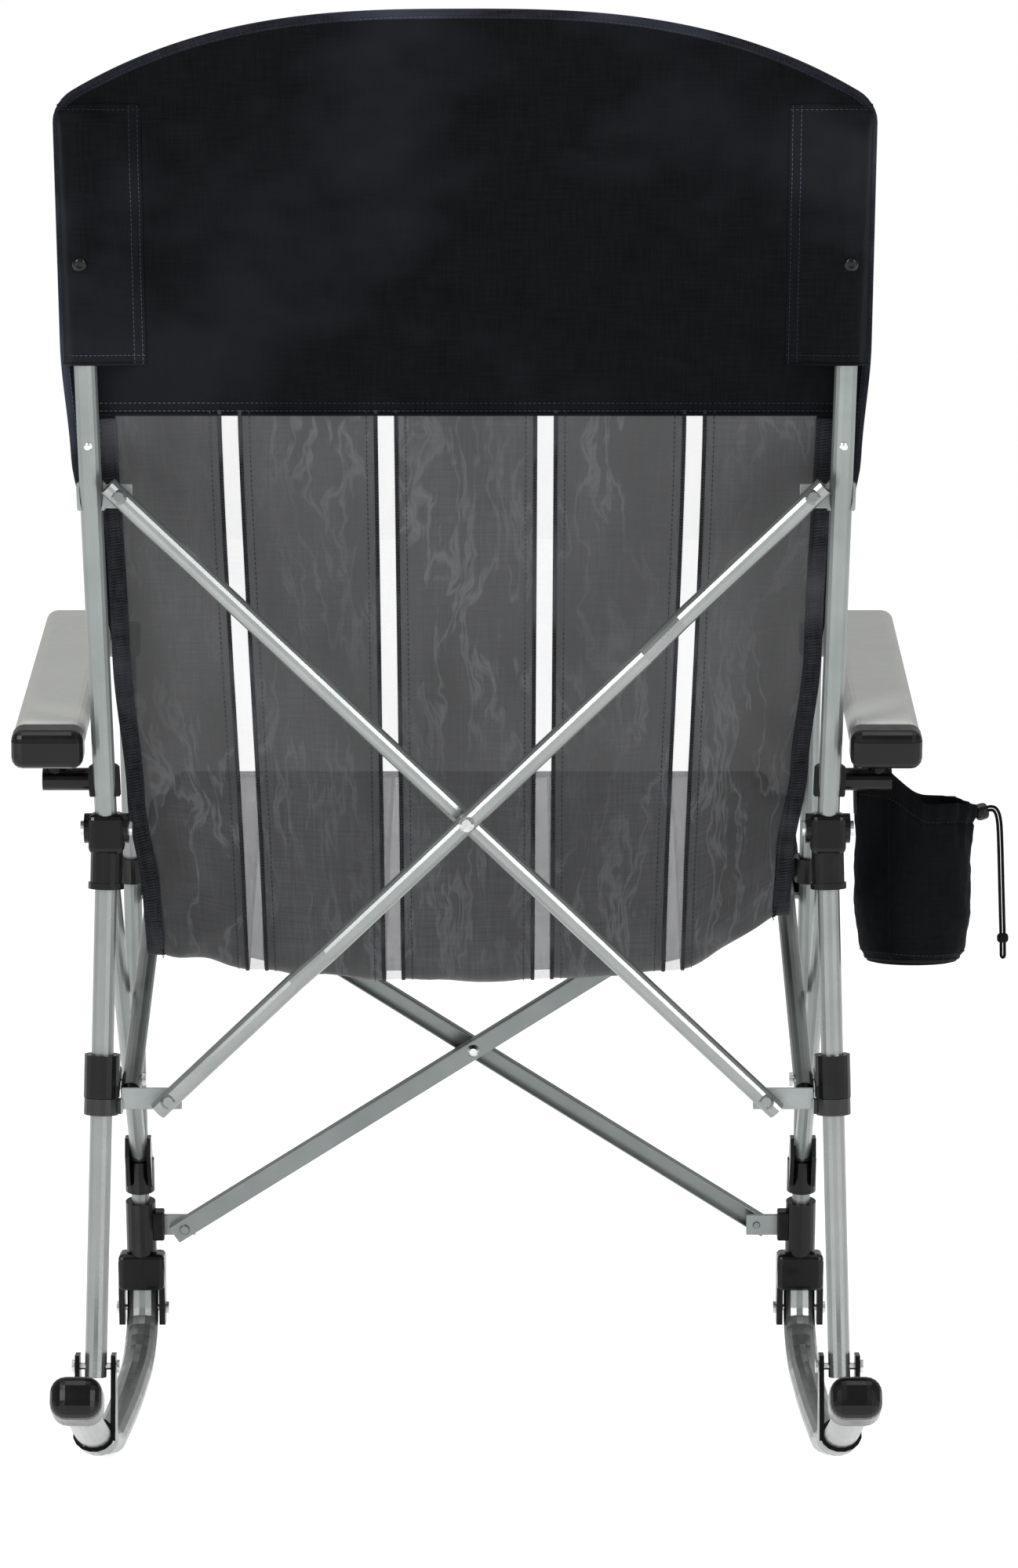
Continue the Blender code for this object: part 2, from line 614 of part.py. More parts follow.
def build_front_yoke(side, sign):
    """Fork over the rocker's front end, with a socket for the front leg and a lug for the bracket."""
    x, (y, z) = FRONT_LEG_X_FOOT, YOKE_PIVOT
    inside, outside = RUNNER_HALF_WIDTH + 0.0009, 0.0182
    socket = rod(front_leg_point(0.0960), front_leg_point(0.1445), 0.0118, 20)
    bridge = block((x - outside, y - 0.008, 0.0729), (x + outside, y + 0.022, 0.1020), 0.004, 3)
    cheeks = []
    for low in (x - outside, x + inside):
        outline = [
            (y - 0.010, 0.0440),
            (y + 0.009, 0.0440),
            (y + 0.016, 0.0700),
            (y + 0.020, 0.0960),
            (y - 0.006, 0.0960),
            (y - 0.011, 0.0700),
        ]
        cheeks.append(plate(outline, low, low + outside - inside))
    lug_at = front_leg_point(FRONT_LOWER_Z)
    lug = block(
        (lug_at.x - 0.0185, lug_at.y - 0.0060, FRONT_LOWER_Z - 0.0120),
        (lug_at.x - 0.0050, lug_at.y + 0.0060, FRONT_LOWER_Z + 0.0120),
        0.0015,
        2,
        lean_turn(FRONT_LEG_LEAN),
        lug_at,
    )
    yoke = fuse([socket, bridge, *cheeks, lug])
    leg_space = rod(front_leg_point(FRONT_LEG_FOOT_Z - GAP), front_leg_point(0.17), LEG_R + GAP, ROUND)
    pin_space = rod((x - 0.03, y, z), (x + 0.03, y, z), 0.0029, 10)
    slot = block(
        (lug_at.x - 0.0300, lug_at.y - 0.0015 - GAP, FRONT_LOWER_Z - 0.0085 - GAP),
        (lug_at.x - 0.0120, lug_at.y + 0.0015 + GAP, FRONT_LOWER_Z + 0.0085 + GAP),
        turn=lean_turn(FRONT_LEG_LEAN),
        pivot=lug_at,
    )
    cut(yoke, [leg_space, pin_space, slot])
    keep(mirrored(yoke, sign), side + "_front_yoke", "black_plastic")

    shaft = rod((x - outside - 0.001, y, z), (x + outside + 0.001, y, z), 0.0025, 10)
    heads = [
        rod((x - outside - 0.0025, y, z), (x - outside - GAP, y, z), 0.0048, 16),
        rod((x + outside + GAP, y, z), (x + outside + 0.0025, y, z), 0.0048, 16),
    ]
    keep(mirrored(fuse([shaft, *heads]), sign), side + "_yoke_pin", "zinc")

    tab = block(
        (FRONT_BOLT_X - 0.0080, lug_at.y - 0.0015, FRONT_LOWER_Z - 0.0085),
        (lug_at.x - 0.0125, lug_at.y + 0.0015, FRONT_LOWER_Z + 0.0085),
        0.0006,
        1,
        lean_turn(FRONT_LEG_LEAN),
        lug_at,
    )
    bolt = front_bolt(FRONT_LOWER_Z)
    hole = rod(bolt - FRONT_NORMAL * 0.01, bolt + FRONT_NORMAL * 0.01, 0.0030, 10)
    cut(tab, [hole])
    keep(mirrored(tab, sign), side + "_front_bracket", "steel_plate")


def front_bolt(z):
    """A front brace bolt's place in the plane of the front legs."""
    return Vector((FRONT_BOLT_X, front_leg_point(z).y, z))


# ---------------------------------------------------------------- braces and their sliders
def build_rear_slider(side, sign):
    """Ring that slides on the rear leg below the collar, with an arm to a rear brace's foot."""
    joint = empty(side + "_rear_slider_axis", mirror_point(rear_leg_point(REAR_LOWER_Z), sign))
    ring = rod(rear_leg_point(0.2690), rear_leg_point(0.2810), 0.0125, 20)
    y = REAR_LEG_Y
    tab = block(
        (REAR_LOWER_X - 0.0090, y - 0.0015, REAR_LOWER_Z - 0.0078),
        (0.2495, y + 0.0015, REAR_LOWER_Z + 0.0078),
        0.0006,
        1,
    )
    neck = block((0.2480, y - 0.0040, 0.2694), (0.2560, y + 0.0040, 0.2804), 0.001, 1)
    piece = fuse([ring, neck, tab])
    space = rod(rear_leg_point(0.25), rear_leg_point(0.30), TUBE_R + GAP, ROUND)
    cut(piece, [space])
    keep(mirrored(piece, sign), side + "_rear_slider", "black_plastic", joint)


def build_front_slider(side, sign):
    """Ring that slides up the front leg, with a tab above the seat rail for a front brace's top."""
    at = front_leg_point(FRONT_UPPER_Z)
    joint = empty(side + "_front_slider_axis", mirror_point(at, sign))
    ring = rod(front_leg_point(FRONT_UPPER_Z - 0.0095), front_leg_point(FRONT_UPPER_Z + 0.0095), 0.0110, 20)
    tab = block(
        (FRONT_BOLT_X - 0.0080, at.y - 0.0015, FRONT_UPPER_Z - 0.0080),
        (at.x - LEG_R, at.y + 0.0015, FRONT_UPPER_Z + 0.0080),
        0.0006,
        1,
        lean_turn(FRONT_LEG_LEAN),
        at,
    )
    piece = fuse([ring, tab])
    below, above = front_leg_point(FRONT_UPPER_Z - 0.03), front_leg_point(FRONT_UPPER_Z + 0.03)
    space = rod(below, above, LEG_R + GAP, ROUND)
    cut(piece, [space])
    keep(mirrored(piece, sign), side + "_front_slider", "black_plastic", joint)


def mirror_point(point, sign):
    return Vector((point.x * sign, point.y, point.z))


def bolt_through(at, normal, inner, outer, head):
    """A bolt along normal: its shank between two distances, and a domed head on the outer end."""
    step = 1 if outer > inner else -1
    shank = rod(at + normal * inner, at + normal * (outer + 0.001 * step), 0.0025, 10)
    cap = rod(at + normal * outer, at + normal * (outer + 0.0026 * step), head, 16, head * 0.62)
    return [shank, cap]


def rear_brace_line(top_sign, offset):
    """The brace's two bolt places: its top bracket's, and the other side's slider's."""
    top = Vector((REAR_UPPER_X * top_sign, post_point(REAR_UPPER_Z).y + offset, REAR_UPPER_Z))
    foot = Vector((-REAR_LOWER_X * top_sign, REAR_LEG_Y + offset, REAR_LOWER_Z))
    return top, foot


def front_brace_line(foot_sign, offset):
    """The channel's two bolt places: its foot bracket's, and the other side's slider's."""
    foot = mirror_point(front_bolt(FRONT_LOWER_Z), foot_sign) + FRONT_NORMAL * offset
    top = mirror_point(front_bolt(FRONT_UPPER_Z), -foot_sign) + FRONT_NORMAL * offset
    return foot, top


def crossing(first, second):
    """The point on the first brace where the two braces pass each other in a view along Y."""
    (a, b), (c, d) = first, second
    u, v, w = b - a, d - c, c - a
    return a + u * ((w.x * v.z - w.z * v.x) / (u.x * v.z - u.z * v.x))


def build_rear_brace(name, top_sign, offset, crank=0.0, cross=None):
    """A round brace. Its top turns on one bracket, and its foot reaches the other side's slider."""
    top, foot = rear_brace_line(top_sign, offset)
    out = Vector((0, crank, 0))
    joint = empty(name + "_axis", top - Vector((0, offset, 0)))
    along = (foot - top).normalized()
    normal = Vector((0, 1, 0))
    middle = [
        top.lerp(foot, 0.200),
        top.lerp(foot, 0.255) + out,
        top.lerp(foot, 0.745) + out,
        top.lerp(foot, 0.800),
    ]
    path = [top - along * 0.011, *(middle if crank else []), foot + along * 0.011]
    bar = hollow(path, BRACE_R, BRACE_R, WALL, ROUND, normal)
    cut(bar, [rod(at - normal * 0.02, at + normal * 0.02, 0.0023, 10) for at in (top, foot)])
    if cross:
        cut(bar, [rod(cross - normal * 0.02, cross + normal * 0.02, 0.0026, 10)])
    back = 1 if offset > 0 else -1
    reach = BRACE_R - 0.0006
    pieces = [bar]
    pieces += bolt_through(top, normal, -back * (BRACE_OFFSET + 0.0025), back * reach, 0.0056)
    pieces += bolt_through(foot, normal, -back * (BRACE_R - 0.0008), back * reach, 0.0056)
    keep(fuse(pieces), name, "frame_paint", joint)
    return joint


def build_front_brace(name, foot_sign, offset, cross=None):
    """A U channel. Its foot turns on the yoke's bracket, and its top reaches the other side's slider."""
    foot, top = front_brace_line(foot_sign, offset)
    joint = empty(name + "_axis", foot - FRONT_NORMAL * offset)
    back = 1 if offset > 0 else -1
    along = (top - foot).normalized()
    closed_side = FRONT_NORMAL * -back
    across = closed_side.cross(along)
    length = (top - foot).length + 0.020
    half_w, half_d = CHANNEL_WIDTH / 2, CHANNEL_DEPTH / 2
    bar = block((-length / 2, -half_w, -half_d), (length / 2, half_w, half_d), 0.0012, 2)
    groove = block((-length, -half_w + WALL, -half_d + 0.0018), (length, half_w - WALL, half_d + 0.01))
    cut(bar, [groove])
    turn = Matrix((along, across, closed_side)).transposed().to_4x4()
    bar.data.transform(Matrix.Translation((foot + top) / 2) @ turn)
    if cross:
        cut(bar, [rod(cross - FRONT_NORMAL * 0.02, cross + FRONT_NORMAL * 0.02, 0.0026, 10)])
    web = half_d - 0.0009
    pieces = [bar]
    pieces += bolt_through(foot, FRONT_NORMAL, -back * (CHANNEL_OFFSET + 0.0025), back * web, 0.0050)
    pieces += bolt_through(top, FRONT_NORMAL, -back * (half_d - 0.0006), back * web, 0.0050)
    keep(fuse(pieces), name, "frame_paint", joint)
    return joint


def build_cross_bolt(name, at, normal, joint, half, head):
    """The bolt at a scissor's crossing. It is fixed in the near brace and stops short of the far one."""
    shank = rod(at - normal * (half + 0.0012), at + normal * (half + 0.001), 0.0022, 10)
    dome = rod(at + normal * (half + GAP), at + normal * (half + 0.0030), head, 16, head * 0.6)
    keep(fuse([shank, dome]), name, "zinc", joint)


def build_braces():
    offset = BRACE_OFFSET
    cross = crossing(rear_brace_line(-1, offset), rear_brace_line(1, offset)) + Vector((0, BRACE_CRANK, 0))
    joint = build_rear_brace("rear_brace_near", -1, offset, BRACE_CRANK, cross)
    build_rear_brace("rear_brace_far", 1, offset)
    build_cross_bolt("rear_cross_bolt", cross, Vector((0, 1, 0)), joint, BRACE_R + 0.0010, 0.0056)

    offset = CHANNEL_OFFSET
    cross = crossing(front_brace_line(1, offset), front_brace_line(-1, -offset))
    joint = build_front_brace("front_brace_near", 1, offset, cross)
    build_front_brace("front_brace_far", -1, -offset)
    build_cross_bolt("front_cross_bolt", cross, FRONT_NORMAL, joint, CHANNEL_DEPTH / 2, 0.0050)


# ---------------------------------------------------------------- armrest
def build_armrest(side, sign):
    """Long rounded pad on a slope, with a lug inside its front end that caps the front leg."""
    y_rear, z_rear = ARM_REAR
    turn = Matrix.Rotation(-math.atan(ARM_SLOPE), 3, "X")
    length = (y_rear - ARM_FRONT_Y) / math.cos(math.atan(ARM_SLOPE))
    pivot = Vector((0, y_rear, z_rear))
    pad = block(
        (ARMREST_INNER_X, y_rear - length, z_rear - ARM_THICK),
        (ARMREST_OUTER_X, y_rear - ARM_CAP_LENGTH - GAP, z_rear),
        0.0085,
        4,
        turn,
        pivot,
    )
    top = front_leg_point(FRONT_LEG_TOP_Z)
    lug = block(
        (top.x - 0.0105, top.y - 0.0110, 0.5800),
        (ARMREST_INNER_X + 0.010, top.y + 0.0110, 0.6060),
        0.003,
        2,
    )
    pad = fuse([pad, lug])
    space = rod(front_leg_point(0.56), front_leg_point(FRONT_LEG_TOP_Z + GAP), LEG_R + GAP, ROUND)
    cut(pad, [space])
    keep(mirrored(pad, sign), side + "_armrest", "arm_plastic")

    cap = block(
        (ARMREST_INNER_X - 0.0004, y_rear - ARM_CAP_LENGTH, z_rear - 0.0275),
        (ARMREST_OUTER_X + 0.0004, y_rear + 0.0015, z_rear + 0.0005),
        0.0080,
        4,
        turn,
        pivot,
    )
    keep(mirrored(cap, sign), side + "_armrest_cap", "black_plastic")


def build_arm_bracket(side, sign):
    """Clip in front of the back post, with an arm out under the armrest's rear end."""
    z = 0.5110
    at = post_point(z)
    ring = rod(post_point(z - 0.0095), post_point(z + 0.0095), 0.0115, 20)
    behind = block((at.x - 0.0200, at.y + 0.0010, z - 0.0300), (at.x + 0.0200, at.y + 0.0300, z + 0.0300))
    cut(ring, [behind])
    y = at.y - 0.0165
    arm = rod((at.x - 0.0060, y, z), (0.3045, y, z), 0.0082, 20)
    under = arm_top_z(y) - 0.0275 - 0.004
    stub = rod((0.2950, y, z), (0.2950, y, under), 0.0070, 16)
    piece = fuse([ring, arm, stub])
    space = rod(post_point(z - 0.04), post_point(z + 0.04), TUBE_R + GAP, ROUND)
    cut(piece, [space])
    keep(mirrored(piece, sign), side + "_arm_bracket", "black_plastic")


# ---------------------------------------------------------------- sling
def sling_rows():
    """The sling's side view from its top edge down the back and forward to the seat's front.

    Each row is (y, z, half width); rows above the hem follow the back posts.
    """
    offset = TUBE_R / math.cos(math.atan(POST_LEAN)) + SLING_THICK / 2 + 0.0012
    rows = []
    for step in range(5):
        z = SLING_TOP_Z + (SLING_HEM_Z - SLING_TOP_Z) * step / 4
        rows.append((post_point(z).y - offset, z, SLING_TOP_HALF))
    hem_y = post_point(SLING_HEM_Z).y - offset
    crease = Vector((0.030, 0.352))
    seat_knee = Vector((-0.180, 0.4370))
    seat_front = Vector((-0.370, 0.4720))
    rows.append((hem_y - 0.007, SLING_HEM_Z - 0.012, SLING_BACK_HALF))
    start = Vector((0.2040, 0.7350))
    for step in range(6):
        point = start.lerp(crease + Vector((0.035, 0.05)), step / 5)
        rows.append((point.x, point.y, SLING_BACK_HALF + (SLING_SEAT_HALF - SLING_BACK_HALF) * step / 5))
    rows.append((0.040, 0.366, SLING_SEAT_HALF))
    rows.append((crease.x - 0.02, crease.y, SLING_SEAT_HALF))
    for start, end in ((crease - Vector((0.02, 0)), seat_knee), (seat_knee, seat_front)):
        for step in range(1, 4):
            point = start.lerp(end, step / 3)
            rows.append((point.x, point.y, SLING_SEAT_HALF))
    return rows


def build_sling():
    """Back and seat in one sheet, closed all round."""
    rows = sling_rows()
    columns = 13
    bm = bmesh.new()
    faces_of = []
    for level in (-0.5, 0.5):
        grid = []
        for i, (y, z, half) in enumerate(rows):
            before, after = rows[max(i - 1, 0)], rows[min(i + 1, len(rows) - 1)]
            along = Vector((0, after[0] - before[0], after[1] - before[1])).normalized()
            normal = Vector((1, 0, 0)).cross(along)
            line = []
            for j in range(columns):
                u = -1 + 2 * j / (columns - 1)
                share = max(0.0, (z - SLING_HEM_Z) / (SLING_TOP_Z - SLING_HEM_Z))
                drop = SLING_CORNER_DROP * abs(u) ** SLING_CORNER_POWER * share
                place = Vector((half * u, y - POST_LEAN * drop, z - drop))
                line.append(bm.verts.new(place + normal * (SLING_THICK * level)))
            grid.append(line)
        faces_of.append(grid)
    lower, upper = faces_of
    last_row, last_col = len(rows) - 1, columns - 1
    for grid in faces_of:
        for i in range(last_row):
            for j in range(last_col):
                bm.faces.new((grid[i][j], grid[i][j + 1], grid[i + 1][j + 1], grid[i + 1][j]))
    for i in range(last_row):
        for j in (0, last_col):
            bm.faces.new((lower[i][j], lower[i + 1][j], upper[i + 1][j], upper[i][j]))
    for j in range(last_col):
        for i in (0, last_row):
            bm.faces.new((lower[i][j], lower[i][j + 1], upper[i][j + 1], upper[i][j]))
    keep(from_bmesh(bm), "back_seat_sling", "sling_fabric")


# ---------------------------------------------------------------- cup pouch and drawstring
def build_pouch():
    x, y = POUCH_CENTRE
    body = rod((x, y, POUCH_FLOOR_Z), (x, y, POUCH_RIM_Z), POUCH_R - 0.003, 28, POUCH_R)
    strap_top = arm_top_z(y) - ARM_THICK - 0.0045
    strap_x = x - POUCH_R + 0.0004
    strap = block((strap_x, y - 0.012, POUCH_RIM_Z - 0.020), (strap_x + 0.0030, y + 0.012, strap_top))
    inside_low = (x, y, POUCH_FLOOR_Z + POUCH_WALL)
    inside_high = (x, y, POUCH_RIM_Z + 0.01)
    space = rod(inside_low, inside_high, POUCH_R - 0.003 - POUCH_WALL, 28, POUCH_R - POUCH_WALL)
    cut(body, [space])
    pouch = fuse([body, strap])
    keep(mirrored(pouch, -1), "cup_pouch", "black_fabric")


def cord_route():
    """The drawstring's middle line, from the pouch's rim over its side and straight down."""
    x = POUCH_CENTRE[0] + POUCH_R + 0.0012
    y = POUCH_CENTRE[1] - 0.004
    return [
        Vector((x, y, 0.4780)),
        Vector((x + 0.0060, y, 0.4790)),
        Vector((x + 0.0120, y, 0.4815)),
        Vector((x + 0.0165, y, 0.4800)),
        Vector((x + 0.0190, y, 0.4720)),
        Vector((x + 0.0200, y, 0.4550)),
        Vector((x + 0.0208, y, 0.4300)),
        Vector((x + 0.0216, y, 0.4050)),
        Vector((x + 0.0222, y, 0.3860)),
        Vector((x + 0.0224, y, 0.3735)),
    ]


def smooth_points(route, spacing):
    """Evenly spaced points read from a smooth curve through the route."""
    dense = []
    for i in range(len(route) - 1):
        p0, p1, p2, p3 = (route[min(max(i + k, 0), len(route) - 1)] for k in (-1, 0, 1, 2))
        for step in range(20):
            t = step / 20
            blend = (p1 * 2 + (p2 - p0) * t + (p0 * 2 - p1 * 5 + p2 * 4 - p3) * t * t)
            dense.append((blend + (p1 * 3 - p0 - p2 * 3 + p3) * t * t * t) / 2)
    dense.append(route[-1])
    points, walked = [dense[0]], 0.0
    for a, b in zip(dense, dense[1:]):
        walked += (b - a).length
        if walked >= spacing:
            points.append(b)
            walked = 0.0
    return points


def build_drawstring():
    """One cord, doubled: down to a loop at the bottom and back up beside itself."""
    middle = smooth_points(cord_route(), 0.0050)
    away = []
    for i, place in enumerate(middle):
        along = (middle[min(i + 1, len(middle) - 1)] - middle[max(i - 1, 0)]).normalized()
        away.append(Vector((0, 1, 0)).cross(along) * STRAND_HALF_GAP)
    down = (middle[-1] - middle[-2]).normalized()
    loop = []
    for step in range(1, 6):
        angle = math.pi * step / 6
        swing = away[-1] * math.cos(angle) + down * (STRAND_HALF_GAP * 1.6 * math.sin(angle))
        loop.append(middle[-1] + swing)
    outward = [p + a for p, a in zip(middle, away)]
    back = [p - a for p, a in zip(middle, away)]
    line = outward + loop + back[::-1]
    curve = bpy.data.curves.new("drawstring", "CURVE")
    curve.dimensions = "3D"
    curve.bevel_depth = CORD_R
    curve.bevel_resolution = 2
    curve.use_fill_caps = True
    spline = curve.splines.new("POLY")
    spline.points.add(len(line) - 1)
    for point, place in zip(spline.points, line):
        point.co = (-place.x, place.y, place.z, 1)
    obj = bpy.data.objects.new("drawstring", curve)
    bpy.context.scene.collection.objects.link(obj)
    curve.materials.append(material("cord_black"))
    obj.parent = CHAIR


def bead(at, along, radius, length):
    """A rounded barrel round both strands, with a hole that clears them."""
    body = rod(at - along * (length / 2), at + along * (length / 2), radius, 14)
    modifier = body.modifiers.new("round", "BEVEL")
    modifier.width = radius * 0.55
    modifier.segments = 3
    modifier.limit_method = "ANGLE"
    combine(body, [], "UNION")
    hole = rod(at - along * length, at + along * length, STRAND_HALF_GAP + CORD_R + 0.0006, 10)
    return cut(body, [hole])


def build_cord_pieces():
    route = cord_route()
    lock = bead(route[1], (route[2] - route[0]).normalized(), 0.0062, 0.0105)
    keep(mirrored(lock, -1), "cord_lock", "black_plastic")
    knot = bead(route[8], (route[9] - route[7]).normalized(), 0.0042, 0.0070)
    keep(mirrored(knot, -1), "cord_knot", "cord_black")


# ---------------------------------------------------------------- assembly
def build_side(side, sign):
    build_runner(side, sign)
    build_saddle(side, sign)
    build_rear_leg(side, sign)
    build_hub(side, sign)
    build_back_post(side, sign)
    build_upper_bracket(side, sign)
    build_rail_collar(side, sign)
    build_seat_rail(side, sign)
    build_side_link(side, sign)
    build_link_sleeve(side, sign)
    build_front_leg(side, sign)
    build_front_yoke(side, sign)
    build_rear_slider(side, sign)
    build_front_slider(side, sign)
    build_armrest(side, sign)
    build_arm_bracket(side, sign)


for old in list(bpy.data.objects):
    bpy.data.objects.remove(old)

CHAIR = bpy.data.objects.new("chair", None)
CHAIR.location = (CENTRE_X, CENTRE_Y, 0.0)
bpy.context.scene.collection.objects.link(CHAIR)

for side_name, side_sign in SIDES.items():
    build_side(side_name, side_sign)
build_braces()
build_sling()
build_pouch()
build_drawstring()
build_cord_pieces()
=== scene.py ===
"""Camp rocking chair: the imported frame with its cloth, cord and finishes, and a plain studio round it.

Metres, +Z up. The sitter faces -Y, "left" is +X. The camera stands behind the chair.
"""

import math

import bmesh
import bpy
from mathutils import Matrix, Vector, noise
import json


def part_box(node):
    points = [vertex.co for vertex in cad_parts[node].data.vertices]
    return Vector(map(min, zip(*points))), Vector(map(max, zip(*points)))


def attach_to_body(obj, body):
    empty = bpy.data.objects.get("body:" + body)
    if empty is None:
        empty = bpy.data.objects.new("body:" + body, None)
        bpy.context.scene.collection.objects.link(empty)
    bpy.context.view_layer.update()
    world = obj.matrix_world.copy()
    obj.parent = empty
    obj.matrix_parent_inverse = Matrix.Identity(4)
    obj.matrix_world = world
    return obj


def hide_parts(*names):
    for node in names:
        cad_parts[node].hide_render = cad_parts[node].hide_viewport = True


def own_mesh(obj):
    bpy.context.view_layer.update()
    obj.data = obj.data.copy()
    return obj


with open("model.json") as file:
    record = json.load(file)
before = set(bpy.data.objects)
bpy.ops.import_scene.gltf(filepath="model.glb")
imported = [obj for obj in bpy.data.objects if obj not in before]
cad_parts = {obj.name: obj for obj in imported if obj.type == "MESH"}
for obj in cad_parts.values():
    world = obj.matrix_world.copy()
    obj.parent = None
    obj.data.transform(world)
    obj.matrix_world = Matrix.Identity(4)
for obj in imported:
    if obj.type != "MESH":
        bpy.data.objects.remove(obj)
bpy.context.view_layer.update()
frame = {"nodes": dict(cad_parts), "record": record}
scene = bpy.context.scene

# ---------------------------------------------------------------- lines of the frame that the cloth follows
POST_HIGH = Vector(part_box("left_back_post")[1])
RIGHT_POST_LOW = Vector(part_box("right_back_post")[0])
LEG_LOW, LEG_HIGH = (Vector(p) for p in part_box("left_rear_leg"))
SLING_LOW = Vector(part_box("back_seat_sling")[0])
POUCH_LOW, POUCH_HIGH = (Vector(p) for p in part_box("cup_pouch"))
MID_X = (POST_HIGH.x + RIGHT_POST_LOW.x) / 2
LEG_Y = (LEG_LOW.y + LEG_HIGH.y) / 2
TUBE_R = 0.008
POST_LEAN = 0.368  # y per z
HUB_Z = 0.4760
POST_X_LOW, POST_X_TOP = 0.2588, 0.2663  # from the middle plane, at the hub and at the top
POST_TOP_Z = 0.972
SLING_TOP_Z = 1.0537
CORNER_DROP = 0.0624
CORNER_POWER = 2.8
HEM_Z = 0.775
TOP_HALF = 0.2815
SEAT_HALF = 0.2330
SCREW_Z, RIVET_Z = 0.880, 0.756  # the sleeve's screw and the rivet below it, on the post
NET_EDGE = 0.2480  # half the net's width at the hem
NET_SEAT_HALF = SEAT_HALF - 0.006


def post_y(z):
    return LEG_Y + POST_LEAN * (z - HUB_Z)


def post_x(z):
    """Distance of the post's centre line from the middle plane."""
    return POST_X_LOW + (POST_X_TOP - POST_X_LOW) * (z - HUB_Z) / (POST_TOP_Z - HUB_Z)


def smoothstep(low, high, value):
    t = min(max((value - low) / (high - low), 0.0), 1.0)
    return t * t * (3 - 2 * t)


def smooth_curve(knots, steps):
    """Closely spaced points of a smooth curve through the knots, without the last knot."""
    points = []
    for i in range(len(knots) - 1):
        p0, p1, p2, p3 = (knots[min(max(i + k, 0), len(knots) - 1)] for k in (-1, 0, 1, 2))
        for step in range(steps):
            t = step / steps
            curve = p1 * 2 + (p2 - p0) * t + (p0 * 2 - p1 * 5 + p2 * 4 - p3) * t * t
            points.append((curve + (p1 * 3 - p0 - p2 * 3 + p3) * t * t * t) / 2)
    return points


# ---------------------------------------------------------------- camera
CAMERA_PLACE = Vector((-0.0073, 4.640, 0.900))
camera_data = bpy.data.cameras.new("camera")
camera_data.lens = 144.0
camera_data.sensor_width = 36.0
camera_data.clip_end = 60.0
camera = bpy.data.objects.new("camera", camera_data)
camera.location = CAMERA_PLACE
camera.rotation_euler = (math.radians(85.0), 0.0, math.radians(180.0))
scene.collection.objects.link(camera)
scene.camera = camera


# ---------------------------------------------------------------- material helpers
class Nodes:
    """A material's node tree, with short calls for the nodes used here."""

    def __init__(self, name):
        self.material = bpy.data.materials.new(name)
        self.material.use_nodes = True
        self.tree = self.material.node_tree
        self.shader = self.tree.nodes["Principled BSDF"]
        coordinates = self.tree.nodes.new("ShaderNodeTexCoord")
        self.place = coordinates.outputs["Object"]
        self.uv = coordinates.outputs["UV"]

    def add(self, kind, **settings):
        node = self.tree.nodes.new("ShaderNode" + kind)
        for key, value in settings.items():
            setattr(node, key, value)
        return node

    def feed(self, node, socket, value):
        if isinstance(value, bpy.types.NodeSocket):
            self.tree.links.new(value, node.inputs[socket])
        else:
            node.inputs[socket].default_value = value

    def math(self, operation, a, b=0.0, c=0.0):
        node = self.add("Math", operation=operation)
        for index, value in enumerate((a, b, c)):
            self.feed(node, index, value)
        return node.outputs[0]

    def plus(self, a, b):
        return self.math("ADD", a, b)

    def times(self, a, b):
        return self.math("MULTIPLY", a, b)

    def scaled(self, vector, factors):
        node = self.add("Mapping")
        self.feed(node, "Vector", vector)
        node.inputs["Scale"].default_value = factors
        return node.outputs[0]

    def noise(self, vector, scale, detail=3.0, rough=0.55):
        node = self.add("TexNoise")
        self.feed(node, "Vector", vector)
        node.inputs["Scale"].default_value = scale
        node.inputs["Detail"].default_value = detail
        node.inputs["Roughness"].default_value = rough
        return node.outputs["Fac"]

    def ramp(self, value, stops):
        node = self.add("ValToRGB")
        self.feed(node, "Fac", value)
        elements = node.color_ramp.elements
        while len(elements) < len(stops):
            elements.new(0.5)
        for element, (at, colour) in zip(elements, stops):
            element.position = at
            element.color = (*colour, 1.0) if len(colour) == 3 else colour
        return node.outputs["Color"]

    def span(self, value, low, high, new_low, new_high):
        node = self.add("MapRange")
        for index, number in enumerate((value, low, high, new_low, new_high)):
            self.feed(node, index, number)
        return node.outputs[0]

    def mix(self, factor, a, b):
        node = self.add("Mix", data_type="RGBA")
        self.feed(node, "Factor", factor)
        for socket, value in ((6, a), (7, b)):
            if isinstance(value, bpy.types.NodeSocket):
                self.tree.links.new(value, node.inputs[socket])
            else:
                node.inputs[socket].default_value = (*value, 1.0)
        return node.outputs[2]

    def bump(self, height, distance, strength=1.0):
        node = self.add("Bump")
        self.feed(node, "Height", height)
        node.inputs["Distance"].default_value = distance
        node.inputs["Strength"].default_value = strength
        self.tree.links.new(node.outputs[0], self.shader.inputs["Normal"])

    def split(self, vector):
        parts = self.add("SeparateXYZ")
        self.feed(parts, "Vector", vector)
        return parts.outputs

    def set(self, **sockets):
        for key, value in sockets.items():
            self.feed(self.shader, key.replace("_", " "), value)


def edge_wear(n, amount=0.6):
    """0 on faces, rising along worn edges."""
    bevel = n.add("Bevel", samples=4)
    bevel.inputs["Radius"].default_value = 0.0012
    geometry = n.add("NewGeometry")
    dot = n.add("VectorMath", operation="DOT_PRODUCT")
    n.tree.links.new(bevel.outputs[0], dot.inputs[0])
    n.tree.links.new(geometry.outputs["Normal"], dot.inputs[1])
    worn = n.span(dot.outputs["Value"], 0.93, 0.80, 0.0, 1.0)
    patches = n.noise(n.place, 220.0, 4.0)
    return n.times(worn, n.span(patches, 0.42, 0.62, 0.0, amount))


